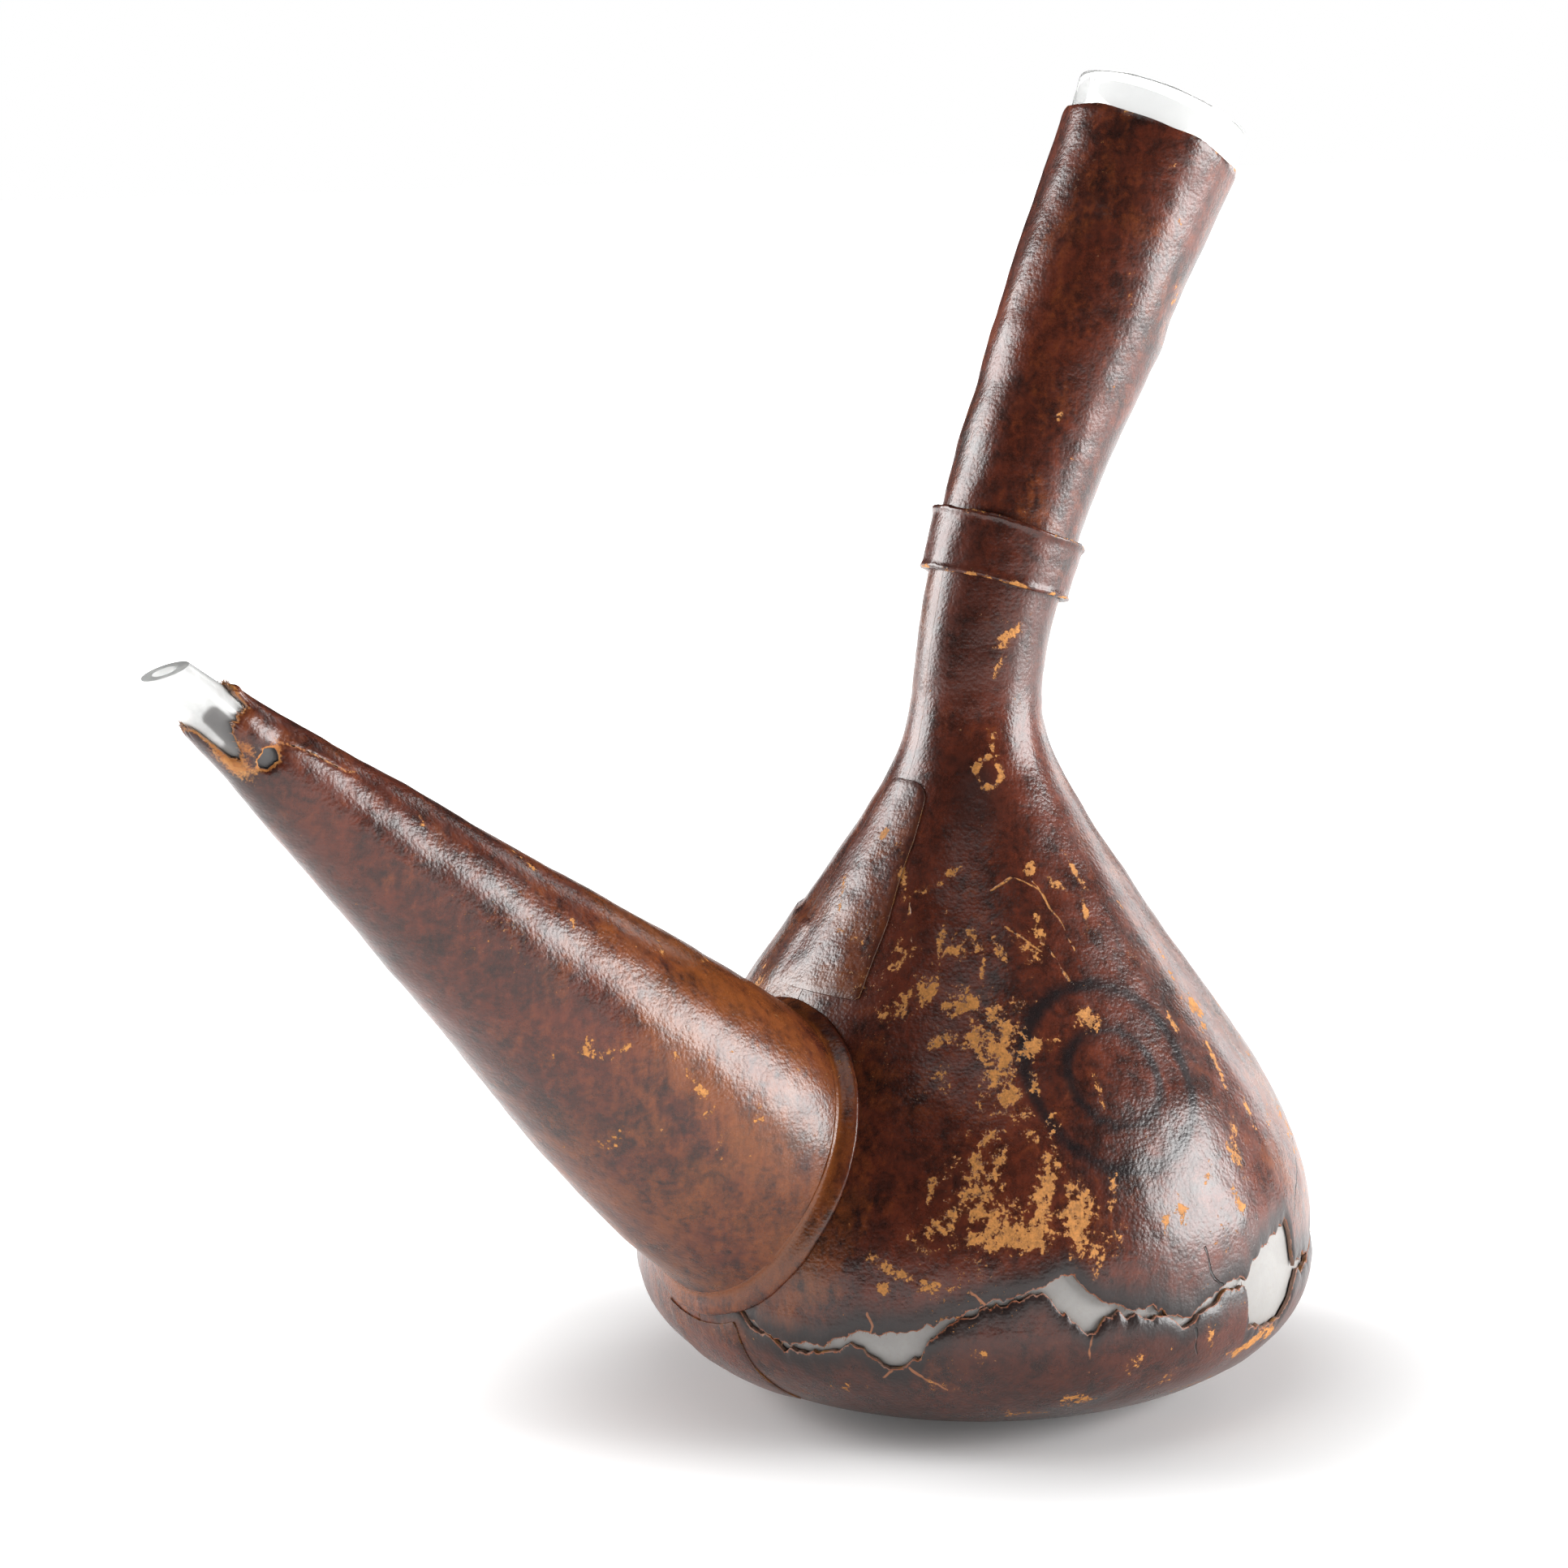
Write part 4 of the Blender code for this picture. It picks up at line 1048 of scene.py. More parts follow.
class MakeSpoutLeather(bpy.types.Operator):
    """Make the sleeve on the spout and the welt round its root"""

    bl_idname = "porron.make_spout_leather"
    bl_label = "Spout Leather"

    def execute(self, context):
        materials = [material("leather"), material("raw")]
        around = np.linspace(-180, 180, 161)[:-1]
        ends = spout.meets_body(around, GLASS_BASE, GLUE_GAP)
        first = 9.0
        steps = np.concatenate((np.linspace(0.0, 0.26, 62), np.linspace(0.26, 1.0, 84)[1:]))
        finish_piece(self.make_sleeve(around, ends, first, steps, materials),
                     "brown_leather", "spout_sleeve")
        finish_piece(self.make_collar(around), "brown_leather", "spout_collar")
        return {"FINISHED"}

    def make_sleeve(self, around, ends, first, steps, materials):
        def distances(degrees, share):
            end = np.interp(half_turn(degrees), np.append(around, 180.0), np.append(ends, ends[0]))
            return first + (end - first) * share

        angles, shares = np.meshgrid(around, steps, indexing="ij")
        places = distances(angles, shares)
        edge = spout_torn_end(angles.ravel()).reshape(angles.shape)
        keep = np.minimum(places - edge, spout_hole_size(angles, places))
        slit = spout_split(angles, places) - self.slit_width(places)
        keep = np.minimum(keep, np.where(np.abs(angles + 58) < 40, slit, 9.0))
        corners, faces = clip_grid(around, steps, keep, True)
        degrees, share = grid_values(corners, around, steps, True)
        places = distances(degrees, share)
        skin = spout.point(degrees, places, GLASS_BASE)
        turn = half_turn(degrees)
        near = np.abs(np.minimum(places - spout_torn_end(degrees),
                                 spout_hole_size(degrees, places) * 1.6))
        lift = 0.14 * lumps(skin, 13.0, 4.0) + 0.05 * lumps(skin, 4.0, 8.0)
        lift = lift + 0.1 * np.exp(-near / 1.6) - 0.85 * np.exp(-near / 0.9)
        lift = lift - 0.3 * blend(40.0, 16.0, places)
        split = spout_split(turn, places)
        slit = blend(22.0, 26.0, places) * blend(45.0, 40.0, places)
        lift = lift + slit * (0.25 * np.exp(-split / 1.2) - 0.3 * np.exp(-split / 0.35))
        flap = np.exp(-((turn + 33) / 11) ** 2) * np.exp(-((places - 12.6) / 1.6) ** 2)
        lift = lift + 0.9 * flap
        outer = spout.point(degrees, places, GLASS_BASE + lift)
        inner = spout.point(degrees, places, GLUE_GAP + np.clip(lift, 0.0, None))
        worn = spot_strength(SPOUT_FLAKES, degrees, places, np.radians(spout.radius(places)))
        worn = np.maximum(worn, 0.45 * np.exp(-near / 0.9) * blend(60, 40, places))
        fray = 1.3 * np.exp(-(((turn + 142) / 27) ** 2 + ((places - 20) / 7.5) ** 2))
        fray = np.maximum(fray, np.exp(-(((turn + 112) / 14) ** 2 + ((places - 20) / 3.5) ** 2)))
        raw = np.maximum(np.exp(-near / 0.8) * blend(60, 40, places), 0.68 * fray)
        raw = np.maximum(raw, 0.85 * slit * np.exp(-split / 0.45))
        root = distances(degrees, np.ones(len(degrees)))
        warm = 0.3 * fray
        warm = warm + 0.55 * blend(75, 8, root - places) * blend(-115, -60, turn) * blend(60, 0, turn)
        warm = warm + 0.55 * blend(110, 30, root - places)
        warm = np.minimum(warm + 0.25 * blend(70, 30, np.abs(turn + 30)), 0.68)
        marks = {"worn": worn, "warm": warm,
                 "char": 0.35 * blend(-110, -170, turn) + 0.2 * blend(70, 10, places),
                 "raw": raw}
        return wall_solid("spout_sleeve_leather", outer, inner, faces, materials, marks)

    def slit_width(self, places):
        """Half width of the split: open in short runs, 24 to 43 mm from the tip."""
        runs = np.clip(np.sin(places * 1.9) + 0.35, 0.0, 1.0)
        return 0.2 * runs * blend(24.0, 27.0, places) * blend(43.0, 40.0, places)

    def make_collar(self, around):
        """A rounded welt where the sleeve turns out on to the body."""
        foot = spout.meets_body(around, GLASS_BASE, GLASS_BASE)
        here = spout.point(around, foot, GLASS_BASE)
        above = spout.point(around, foot - 1.0, GLASS_BASE)
        run = np.roll(here, -1, axis=0) - np.roll(here, 1, axis=0)
        run /= np.linalg.norm(run, axis=1)[:, None]
        rise = above - here
        rise /= np.linalg.norm(rise, axis=1)[:, None]
        place = here[:, 2] - GLASS_BASE
        flat_out = np.interp(place, body.place, body.normal_out)
        flat_up = np.interp(place, body.place, body.normal_up)
        away = np.hypot(here[:, 0], here[:, 1])
        normal = np.stack((here[:, 0] / away * flat_out, here[:, 1] / away * flat_out,
                           flat_up), axis=1)
        side = np.cross(run, normal)
        side /= np.linalg.norm(side, axis=1)[:, None]
        outward = here - (spout.tip + ((here - spout.tip) @ spout.back)[:, None] * spout.back)
        flip = np.sign(np.sum(side * outward, axis=1))
        side *= flip[:, None]
        section = ((3.6, -0.4, 0.0, 0.0, 0.3), (3.4, 0.04, 0.0, 0.0, 0.7),
                   (3.0, 0.08, 0.0, 0.0, 1.0), (2.65, 0.06, 0.0, 0.0, 1.0),
                   (2.3, 0.25, 0.0, 0.0, 0.9), (1.8, 0.45, 0.25, 0.1, 0.6),
                   (1.2, 0.5, 0.8, 0.5, 0.5), (0.6, 0.45, 1.5, 0.9, 0.5),
                   (0.2, 0.3, 2.2, 1.1, 0.45), (0.0, 0.2, 2.8, 1.05, 0.4),
                   (0.0, 0.1, 3.25, 0.8, 0.3), (0.0, 0.0, 3.45, 0.3, 0.1),
                   (0.0, 0.0, 3.4, -0.1, 0.0), (0.0, 0.0, 1.2, -0.3, 0.0),
                   (0.8, -0.7, 0.0, 0.0, 0.0))
        points, crease = [], []
        for step in range(len(around)):
            wave = 0.84 + 0.10 * noise.noise((step / 6.0, 1.0, 4.0))
            for up, swell, out, tall, warm in section:
                sleeve_out = outward[step] / np.linalg.norm(outward[step])
                points.append(here[step] + rise[step] * up + sleeve_out * swell
                              + side[step] * out * wave + normal[step] * tall * wave)
                crease.append(min(warm + 0.08, 1.0))
        faces = ring_faces(len(around), len(section))
        return add_mesh("spout_collar_leather", points, faces, [material("leather")],
                        {"warm": crease})


class MakeStrips(bpy.types.Operator):
    """Make the strips that cover the seams on the spout side and the back"""

    bl_idname = "porron.make_strips"
    bl_label = "Seam Strips"

    def execute(self, context):
        for strip in STRIPS:
            self.make_strip(*strip)
        return {"FINISHED"}

    def make_strip(self, name, middle, low, high, half_low, half_high, spread):
        """One tapered strip with rounded top corners, cut clear of the collar."""
        start = max(low - GLASS_BASE - 2.0, 0.6)
        rows = body_rows(start, high - GLASS_BASE + 2.0, start + 4.0, 0.9, 0.9)
        degrees = np.linspace(middle - spread, middle + spread, 120)

        def keep(around, lengths, skin):
            share = np.clip((skin[..., 2] - low) / (high - low), 0.0, 1.0)
            half = half_low + (half_high - half_low) * share
            wobble = 0.25 * rough(skin[..., 2].ravel(), 41, 9.0).reshape(half.shape)
            side = half + wobble - np.abs(skin[..., 1])
            tall = np.minimum(high - skin[..., 2], skin[..., 2] - low)
            inside = np.minimum(side, tall)
            corner_radius = np.where(skin[..., 2] > (low + high) / 2, 4.0, 0.8)
            rounded = corner_radius - np.hypot(np.minimum(side - corner_radius, 0.0),
                                               np.minimum(tall - corner_radius, 0.0))
            both = (side < corner_radius) & (tall < corner_radius)
            edge = np.where(both, rounded, inside)
            stands, distance = spout.lift_of(skin)
            clear = np.where(distance > SPOUT_FREE, stands - GLASS_BASE - 3.4, 50.0)
            return np.minimum(edge, clear)

        def marks(around, lengths, skin):
            found = body_marks(around, lengths, skin, BODY_FLAKES)
            near = np.clip(keep(around, lengths, skin), 0.0, None)
            found["char"] = np.maximum(0.1 + 0.35 * np.exp(-near / 2.0), found["char"])
            found["warm"] = np.maximum(found["warm"], 0.22)
            return found

        def lift(around, lengths, skin):
            near = np.clip(keep(around, lengths, skin), 0.0, None)
            swell = panel_lift(around, lengths, skin)
            return swell + STRIP_LIFT - 0.15 * np.exp(-near / 0.35)

        strip = self.lay_strip(name + "_leather", degrees, rows, keep, marks, lift)
        finish_piece(strip, "brown_leather", name)

    def lay_strip(self, name, degrees, rows, keep_of, marks_of, lift_of):
        """A strip on top of the panels, its underside just inside their skin."""
        angles, lengths = np.meshgrid(degrees, rows, indexing="ij")
        skin = body.point(angles, lengths, GLASS_BASE)
        corners, faces = clip_grid(degrees, rows, keep_of(angles, lengths, skin), False)
        around, lengths = grid_values(corners, degrees, rows, False)
        skin = body.point(around, lengths, GLASS_BASE)
        lift = lift_of(around, lengths, skin)
        outer = body.point(around, lengths, GLASS_BASE + lift)
        inner = body.point(around, lengths, GLASS_BASE + np.minimum(lift - 0.3, 0.02))
        return wall_solid(name, outer, inner, faces, [material("body"), material("raw")],
                          marks_of(around, lengths, skin))


def fibre_nodes():
    """Geometry Nodes that stand a short tapered fibre on every guide point."""
    group = bpy.data.node_groups.new("torn_fibres", "GeometryNodeTree")
    for name, kind, flow in (("Guide", "NodeSocketGeometry", "INPUT"),
                             ("Length", "NodeSocketFloat", "INPUT"),
                             ("Thickness", "NodeSocketFloat", "INPUT"),
                             ("Spread", "NodeSocketFloat", "INPUT"),
                             ("Seed", "NodeSocketInt", "INPUT"),
                             ("Material", "NodeSocketMaterial", "INPUT"),
                             ("Fibres", "NodeSocketGeometry", "OUTPUT")):
        group.interface.new_socket(name, in_out=flow, socket_type=kind)

    def add(kind, settings=None, sockets=None):
        node = group.nodes.new(kind)
        for setting, value in (settings or {}).items():
            setattr(node, setting, value)
        for socket, value in (sockets or {}).items():
            if isinstance(value, bpy.types.NodeSocket):
                group.links.new(value, node.inputs[socket])
            else:
                node.inputs[socket].default_value = value
        return node

    given = add("NodeGroupInput").outputs
    cone = add("GeometryNodeMeshCone", {"fill_type": "NGON"}, {
        "Vertices": 5, "Radius Top": 0.00003, "Radius Bottom": given["Thickness"],
        "Depth": given["Length"]})
    lean = add("GeometryNodeInputNamedAttribute", {"data_type": "FLOAT_VECTOR"}, {"Name": "lean"})
    upright = add("FunctionNodeAlignRotationToVector", {"axis": "Z"},
                  {"Vector": lean.outputs["Attribute"]})
    less = add("ShaderNodeMath", {"operation": "MULTIPLY"}, {0: given["Spread"], 1: -1.0})
    turn = add("FunctionNodeRandomValue", {"data_type": "FLOAT_VECTOR"}, {
        "Min": less.outputs[0], "Max": given["Spread"], "Seed": given["Seed"]})
    turned = add("FunctionNodeRotateRotation", {"rotation_space": "LOCAL"}, {
        "Rotation": upright.outputs["Rotation"], "Rotate By": turn.outputs["Value"]})
    size = add("FunctionNodeRandomValue", {"data_type": "FLOAT"}, {
        "Min": 0.4, "Max": 1.25, "Seed": given["Seed"]})
    stood = add("GeometryNodeInstanceOnPoints", {}, {
        "Points": given["Guide"], "Instance": cone.outputs["Mesh"],
        "Rotation": turned.outputs["Rotation"], "Scale": size.outputs[1]})
    real = add("GeometryNodeRealizeInstances", {}, {"Geometry": stood.outputs["Instances"]})
    painted = add("GeometryNodeSetMaterial", {}, {
        "Geometry": real.outputs["Geometry"], "Material": given["Material"]})
    add("NodeGroupOutput", {}, {"Fibres": painted.outputs["Geometry"]})
    return group


class MakeFibres(bpy.types.Operator):
    """Make the frayed fibres along the torn edges of the leather"""

    bl_idname = "porron.make_fibres"
    bl_label = "Torn Fibres"

    def execute(self, context):
        self.grow("tear_fibres", *self.tear_guide(), 0.75, 5)
        self.grow("spout_end_fibres", *self.spout_guide(), 0.9, 8)
        return {"FINISHED"}

    def tear_guide(self):
        """Points just inside both edges of the tear, and which way they fray."""
        places, leans = [], []
        around = np.arange(-179.0, -1.0, 0.42)
        for edge, seed, side in ((UPPER_EDGE, 1, -1.0), (LOWER_EDGE, 2, 1.0)):
            height = edge_height(edge, around, seed) - side * 0.25
            lengths = body.length_at(height - GLASS_BASE)
            skin = body.point(around, lengths, GLASS_BASE)
            spots = body.point(around, lengths, 0.75 + 0.35 * rough(around, seed + 3, 0.8))
            out = body.point(around, lengths, 6.0) - skin
            out /= np.linalg.norm(out, axis=1)[:, None]
            clear = spout_hole(skin) > 3.0
            places.append(spots[clear])
            leans.append((out * 0.5 + np.array((0.0, 0.0, side)))[clear])
        return np.concatenate(places), np.concatenate(leans)

    def spout_guide(self):
        """Points on the torn end of the spout's leather, fraying to the tip."""
        around = np.arange(-180.0, 180.0, 1.1)
        distance = spout_torn_end(around) + 0.3
        spots = spout.point(around, distance, 0.6)
        out = spout.point(around, distance, 5.0) - spots
        out /= np.linalg.norm(out, axis=1)[:, None]
        return spots, out * 0.4 - spout.back

    def grow(self, name, places, leans, length, seed):
        guide = bpy.data.meshes.new(name + "_guide")
        guide.from_pydata([tuple(place) for place in places * MM], [], [])
        lean = guide.attributes.new("lean", "FLOAT_VECTOR", "POINT")
        lean.data.foreach_set("vector", leans.astype(np.float32).ravel())
        grower = link_new(name + "_guide", guide)
        group = bpy.data.node_groups.get("torn_fibres") or fibre_nodes()
        modifier = grower.modifiers.new("fibres", "NODES")
        modifier.node_group = group
        values = {"Length": length * MM, "Thickness": FIBRE_THICKNESS * MM,
                  "Spread": FIBRE_SPREAD, "Seed": seed, "Material": material("raw")}
        for socket in group.interface.items_tree:
            if socket.in_out == "INPUT" and socket.name in values:
                modifier[socket.identifier] = values[socket.name]
        graph = bpy.context.evaluated_depsgraph_get()
        mesh = bpy.data.meshes.new_from_object(grower.evaluated_get(graph))
        bpy.data.objects.remove(grower, do_unlink=True)
        if not mesh.polygons:
            raise RuntimeError(name + " has no fibres")
        fibres = link_new(name, mesh)
        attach(fibres, "root")


def turned_solid(name, profile, sides):
    """A closed solid swept from (centre, right, up, radius) rings."""
    shape = bmesh.new()
    rings = []
    for centre, right, up, radius in profile:
        ring = []
        for side in range(sides):
            turn = 2 * math.pi * side / sides
            spot = centre + radius * (math.cos(turn) * right + math.sin(turn) * up)
            ring.append(shape.verts.new(tuple(spot * MM)))
        rings.append(ring)
    for first, second in zip(rings[:-1], rings[1:]):
        for side in range(sides):
            after = (side + 1) % sides
            shape.faces.new((first[side], first[after], second[after], second[side]))
    shape.faces.new(list(reversed(rings[0])))
    shape.faces.new(rings[-1])
    bmesh.ops.recalc_face_normals(shape, faces=shape.faces)
    mesh = bpy.data.meshes.new(name)
    shape.to_mesh(mesh)
    shape.free()
    return link_new(name, mesh)


class MakeGlass(bpy.types.Operator):
    """Make the blown glass vessel: body, neck and spout in one piece"""

    bl_idname = "porron.make_glass"
    bl_label = "Glass Vessel"

    def execute(self, context):
        wall = context.scene.porron_glass.wall / MM
        vessel = self.body_solid("glass_vessel_blown", 0.0, 0.0)
        spout_outside = self.spout_solid("spout_outside", 0.0)
        trim = self.tip_trim()
        body_bore = self.body_solid("body_bore", -wall, 14.0)
        spout_bore = self.spout_solid("spout_bore", -SPOUT_WALL)
        self.cut(spout_outside, trim, "DIFFERENCE")
        self.cut(vessel, spout_outside, "UNION")
        self.cut(vessel, body_bore, "DIFFERENCE")
        self.cut(vessel, spout_bore, "DIFFERENCE")
        for cutter in (spout_outside, trim, body_bore, spout_bore):
            bpy.data.objects.remove(cutter, do_unlink=True)
        self.soften_rims(vessel)
        self.mark_film(vessel)
        vessel.data.materials.clear()
        vessel.data.materials.append(material("glass"))
        vessel.data.shade_smooth()
        vessel.data.set_sharp_from_angle(angle=math.radians(50))
        finish_piece(vessel, "clear_glass", "glass_vessel")
        return {"FINISHED"}

    def body_solid(self, name, lift, overrun):
        """Body and neck, carried on past the mouth by the overrun."""
        lengths = np.concatenate((np.linspace(0.0, body.length_at(WIDEST_HEIGHT), 16)[:-1],
                                  np.linspace(body.length_at(WIDEST_HEIGHT), body.length[-1], 96)))
        rings = []
        for length in lengths:
            east = body.point(0.0, length, lift)
            west = body.point(180.0, length, lift)
            centre = (east + west) / 2
            right = (east - west) / np.linalg.norm(east - west)
            rings.append((centre, right, np.array((0.0, 1.0, 0.0)),
                          np.linalg.norm(east - west) / 2))
        if overrun:
            centre, right, up, radius = rings[-1]
            forward = np.cross(right, up)
            forward *= math.copysign(1.0, forward[2])
            rings.append((centre + forward * overrun, right, up, radius))
        return turned_solid(name, rings, 96)

    def spout_solid(self, name, lift):
        """The spout, from a taper inside the body to just past its tip."""
        rings = [(SPOUT_LENGTH + ROOT_TAPER, SPOUT_ROOT_RADIUS + lift - ROOT_TAPER)]
        for distance in np.linspace(SPOUT_LENGTH, -6.0, 110):
            rings.append((distance, float(spout.radius(distance)) + lift))
        solid = [(spout.tip + spout.back * distance, spout.up, np.array((0.0, 1.0, 0.0)), radius)
                 for distance, radius in rings]
        return turned_solid(name, solid, 72)

    def tip_trim(self):
        """A block above the slanting cut of the spout's tip."""
        mesh = bpy.data.meshes.new("tip_trim")
        shape = bmesh.new()
        bmesh.ops.create_cube(shape, size=0.1)
        tilt = Matrix.Rotation(math.radians(-TIP_CUT_TILT), 4, "Y")
        shift = Matrix.Translation(SPOUT_TIP * MM) @ tilt @ Matrix.Translation((0, 0, 0.05))
        bmesh.ops.transform(shape, matrix=shift, verts=shape.verts)
        shape.to_mesh(mesh)
        shape.free()
        return link_new("tip_trim", mesh)

    def cut(self, item, cutter, operation):
        modifier = item.modifiers.new("cut", "BOOLEAN")
        modifier.solver = "EXACT"
        modifier.operation = operation
        modifier.object = cutter
        self.apply(item)

    def apply(self, item):
        graph = bpy.context.evaluated_depsgraph_get()
        mesh = bpy.data.meshes.new_from_object(item.evaluated_get(graph))
        item.modifiers.clear()
        item.data = mesh

    def soften_rims(self, vessel):
        bevel = vessel.modifiers.new("fire_polish", "BEVEL")
        bevel.width = 0.55 * MM
        bevel.segments = 3
        bevel.limit_method = "ANGLE"
        bevel.angle_limit = math.radians(55)
        self.apply(vessel)

    def mark_film(self, vessel):
        """Old glue covers the glass wherever the leather is or was."""
        points = np.empty(len(vessel.data.vertices) * 3)
        vessel.data.vertices.foreach_get("co", points)
        points = points.reshape(-1, 3) / MM
        _, distance = spout.lift_of(points)
        on_tip = (distance < SPOUT_FREE) & (points[:, 0] < -75)
        offset = points - spout.tip
        turn = np.degrees(np.arctan2(offset[:, 1], offset @ spout.up))
        mouth = body.point(np.array(0.0), np.array(body.length[-1]), 0.0)
        mouth_west = body.point(np.array(180.0), np.array(body.length[-1]), 0.0)
        mouth_centre = (mouth + mouth_west) / 2
        lean = math.radians(NECK_LEAN)
        forward = np.array((math.sin(lean), 0.0, math.cos(lean)))
        below_mouth = -(points - mouth_centre) @ forward
        film = blend(75.0, 60.0, points[:, 2]) * blend(7.6, 9.5, below_mouth)
        smear = np.exp(-((turn + 110) / 25) ** 4) * blend(8.0, 10.5, distance)
        film = np.where(on_tip, np.maximum(blend(15.0, 19.0, distance), smear), film)
        frost = np.where(on_tip, 0.7, 0.2)
        soot = np.where(on_tip, 0.45 + 0.35 * smear + 0.5 * blend(20.0, 23.0, distance), 0.0)
        soot = np.clip(soot, 0.0, 1.0)
        for name, values in (("film", film), ("frost", frost), ("soot", soot)):
            attribute = vessel.data.attributes.new(name, "FLOAT", "POINT")
            attribute.data.foreach_set("value", values.astype(np.float32))


class MakeBaseDisc(bpy.types.Operator):
    """Make the leather disc under the flat of the base"""

    bl_idname = "porron.make_base_disc"
    bl_label = "Base Disc"

    def execute(self, context):
        edge = BASE_FLAT_RADIUS - 0.5
        profile = [(0.0, 0.0)]
        profile += [(edge * share, 0.0) for share in (0.25, 0.5, 0.75, 0.9)]
        profile += [(edge - 0.35, 0.0), (edge - 0.08, 0.1), (edge, 0.35), (edge, LEATHER - 0.35),
                    (edge - 0.1, LEATHER - 0.1), (edge - 0.35, LEATHER), (edge * 0.5, LEATHER),
                    (0.0, LEATHER)]
        shape = bmesh.new()
        verts = [shape.verts.new((radius * MM, 0.0, height * MM)) for radius, height in profile]
        edges = [shape.edges.new(pair) for pair in zip(verts[:-1], verts[1:])]
        bmesh.ops.spin(shape, geom=verts + edges, cent=(0, 0, 0), axis=(0, 0, 1),
                       angle=2 * math.pi, steps=96, use_merge=True)
        bmesh.ops.remove_doubles(shape, verts=shape.verts, dist=0.00001)
        bmesh.ops.recalc_face_normals(shape, faces=shape.faces)
        mesh = bpy.data.meshes.new("base_disc_leather")
        shape.to_mesh(mesh)
        shape.free()
        mesh.shade_smooth()
        mesh.materials.append(material("leather"))
        finish_piece(link_new("base_disc_leather", mesh), "dark_leather", "base_disc")
        return {"FINISHED"}


class MakeStage(bpy.types.Operator):
    """Set the floor, the soft lights and the camera"""

    bl_idname = "porron.make_stage"
    bl_label = "Stage"

    def execute(self, context):
        self.add_floor()
        for light in LIGHTS:
            self.add_light(*light)
        self.add_air(context)
        context.scene.view_settings.view_transform = "Standard"
        self.add_camera(context)
        return {"FINISHED"}

    def add_air(self, context):
        """White behind everything, and a weaker white that lights the porron."""
        world = bpy.data.worlds.new("studio_air")
        world.use_nodes = True
        tree = world.node_tree
        back = tree.nodes["Background"]
        back.inputs["Color"].default_value = (1.0, 1.0, 1.0, 1.0)
        seen = tree.nodes.new("ShaderNodeLightPath")
        through = tree.nodes.new("ShaderNodeMath")
        through.operation = "MAXIMUM"
        strength = tree.nodes.new("ShaderNodeMapRange")
        strength.inputs["To Min"].default_value = AIR_LIGHT
        strength.inputs["To Max"].default_value = 1.0
        tree.links.new(seen.outputs["Is Camera Ray"], through.inputs[0])
        tree.links.new(seen.outputs["Transmission Depth"], through.inputs[1])
        tree.links.new(through.outputs["Value"], strength.inputs["Value"])
        tree.links.new(strength.outputs["Result"], back.inputs["Strength"])
        context.scene.world = world

    def add_floor(self):
        mesh = bpy.data.meshes.new("studio_floor")
        shape = bmesh.new()
        bmesh.ops.create_grid(shape, x_segments=8, y_segments=8, size=6.0)
        shape.to_mesh(mesh)
        shape.free()
        mesh.materials.append(material("floor"))
        floor = link_new("studio_floor", mesh)

    def add_light(self, name, place, size, power):
        lamp = bpy.data.lights.new(name, "AREA")
        lamp.shape = "RECTANGLE"
        lamp.size, lamp.size_y = size
        lamp.energy = power
        light = link_new(name, lamp)
        light.location = place
        light.rotation_mode = "QUATERNION"
        light.rotation_quaternion = (LIGHT_TARGET - Vector(place)).to_track_quat("-Z", "Y")

    def add_camera(self, context):
        view = context.scene.porron_camera
        around, above = view.around, view.above
        back = Vector((-math.sin(around) * math.cos(above), -math.cos(around) * math.cos(above),
                       math.sin(above)))
        right = Vector((math.cos(around), -math.sin(around), 0.0))
        target = right * view.aside + Vector((0.0, 0.0, view.height))
        data = bpy.data.cameras.new("photo_camera")
        data.sensor_width = 36.0
        data.lens = view.lens
        camera = link_new("photo_camera", data)
        camera.location = target + back * view.distance
        turn = (-back).to_track_quat("-Z", "Y").to_matrix().to_4x4()
        turn = turn @ Matrix.Rotation(view.roll, 4, "Z")
        camera.rotation_mode = "QUATERNION"
        camera.rotation_quaternion = turn.to_quaternion()
        context.scene.camera = camera


class PorronLeather(bpy.types.PropertyGroup):
    dark: bpy.props.FloatVectorProperty(
        name="Dark", description="The darkest colour of the glazed leather", subtype="COLOR",
        default=(0.024, 0.008, 0.0058), min=0.0, max=1.0)
    red: bpy.props.FloatVectorProperty(
        name="Red-brown", description="The main colour of the glazed leather", subtype="COLOR",
        default=(0.132, 0.026, 0.0115), min=0.0, max=1.0)
    warm: bpy.props.FloatVectorProperty(
        name="Warm Brown", description="The colour where the glaze is thin", subtype="COLOR",
        default=(0.250, 0.072, 0.015), min=0.0, max=1.0)
    tan: bpy.props.FloatVectorProperty(
        name="Tan", description="The bare leather under flaked glaze", subtype="COLOR",
        default=(0.64, 0.265, 0.062), min=0.0, max=1.0)


class PorronGlass(bpy.types.PropertyGroup):
    wall: bpy.props.FloatProperty(
        name="Wall", description="Thickness of the blown glass", unit="LENGTH",
        default=2.5 * MM, min=1.0 * MM, max=5.0 * MM)


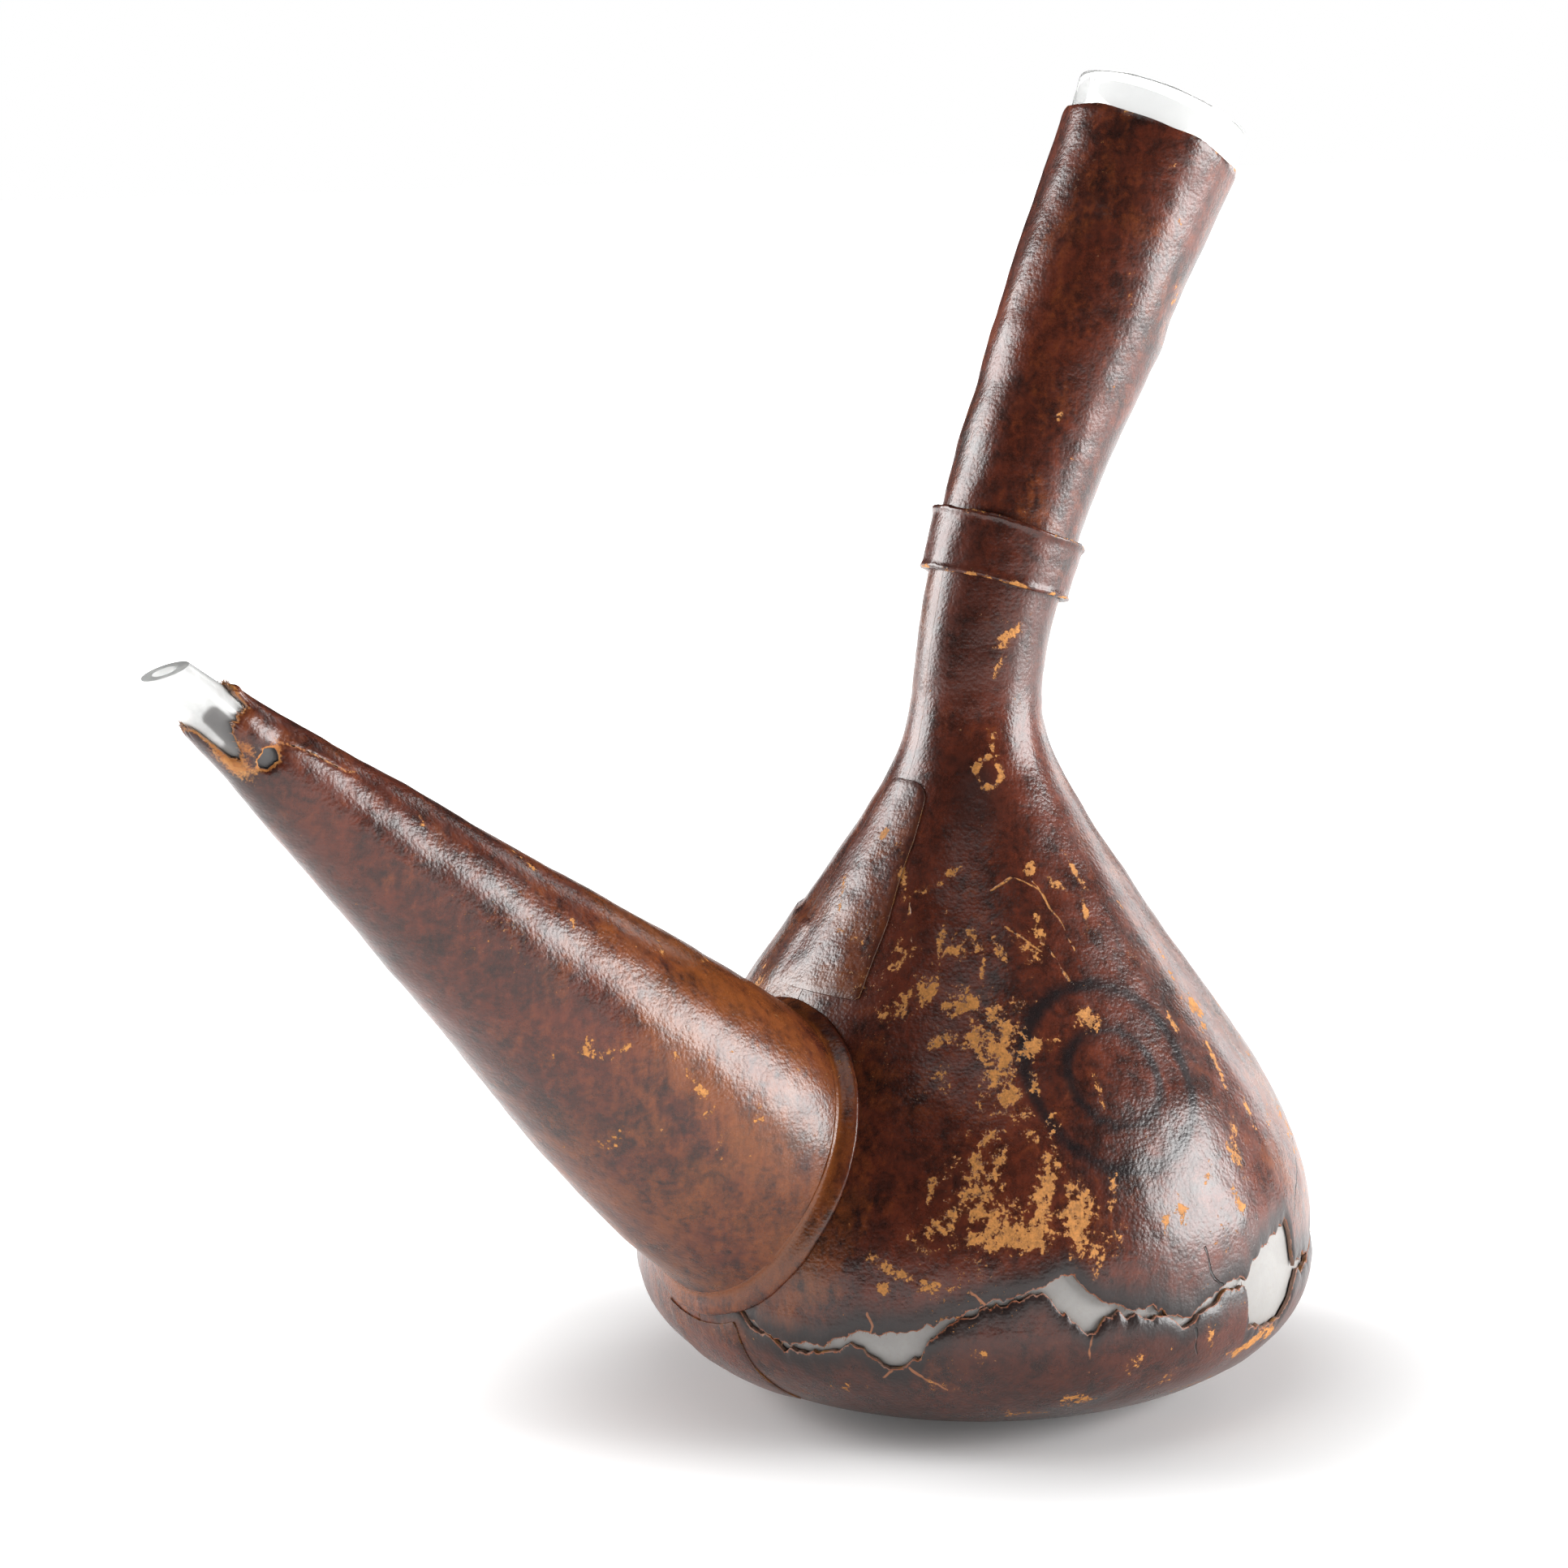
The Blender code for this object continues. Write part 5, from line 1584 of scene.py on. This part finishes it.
class PorronCamera(bpy.types.PropertyGroup):
    around: bpy.props.FloatProperty(
        name="Around", description="Turn of the camera round the porron", subtype="ANGLE",
        default=math.radians(36.0))
    above: bpy.props.FloatProperty(
        name="Above", description="Angle of the camera above the floor", subtype="ANGLE",
        default=math.radians(9.56))
    roll: bpy.props.FloatProperty(
        name="Roll", description="Turn of the camera about its own axis", subtype="ANGLE",
        default=math.radians(-0.2))
    distance: bpy.props.FloatProperty(
        name="Distance", description="From the camera to its target", unit="LENGTH",
        default=0.9607)
    height: bpy.props.FloatProperty(
        name="Target Height", description="Height of the point looked at", unit="LENGTH",
        default=0.12807)
    aside: bpy.props.FloatProperty(
        name="Target Aside", description="How far the point looked at is to the right",
        unit="LENGTH", default=-0.04044)
    lens: bpy.props.FloatProperty(
        name="Lens", description="Focal length in millimetres", default=104.25)


class PorronPanel(bpy.types.Panel):
    """Lists the makers of the porron's pieces and their settings"""

    bl_idname = "VIEW3D_PT_porron"
    bl_label = "Porron"
    bl_space_type = "VIEW_3D"
    bl_region_type = "UI"
    bl_category = "Porron"

    def draw(self, context):
        layout = self.layout
        scene = context.scene
        for group, names in ((scene.porron_leather, ("dark", "red", "warm", "tan")),
                             (scene.porron_glass, ("wall",)),
                             (scene.porron_camera, ("around", "above", "roll", "distance",
                                                    "height", "aside", "lens"))):
            for name in names:
                layout.prop(group, name)
        for maker in MAKERS:
            layout.operator(maker.bl_idname)


MAKERS = (MakeGlass, MakeBaseDisc, MakeBodyLeather, MakeStrips, MakeNeckLeather,
          MakeSpoutLeather, MakeFibres, MakeStage)
GROUPS = (("porron_leather", PorronLeather), ("porron_glass", PorronGlass),
          ("porron_camera", PorronCamera))


def register():
    for name, group in GROUPS:
        bpy.utils.register_class(group)
        setattr(bpy.types.Scene, name, bpy.props.PointerProperty(type=group))
    for maker in MAKERS:
        bpy.utils.register_class(maker)
    bpy.utils.register_class(PorronPanel)


def unregister():
    bpy.utils.unregister_class(PorronPanel)
    for maker in reversed(MAKERS):
        bpy.utils.unregister_class(maker)
    for name, group in reversed(GROUPS):
        delattr(bpy.types.Scene, name)
        bpy.utils.unregister_class(group)


def main():
    register()
    for maker in MAKERS:
        family, name = maker.bl_idname.split(".")
        result = getattr(getattr(bpy.ops, family), name)()
        if "FINISHED" not in result:
            raise RuntimeError(maker.bl_label + " was not made")


if __name__ == "__main__":
    main()
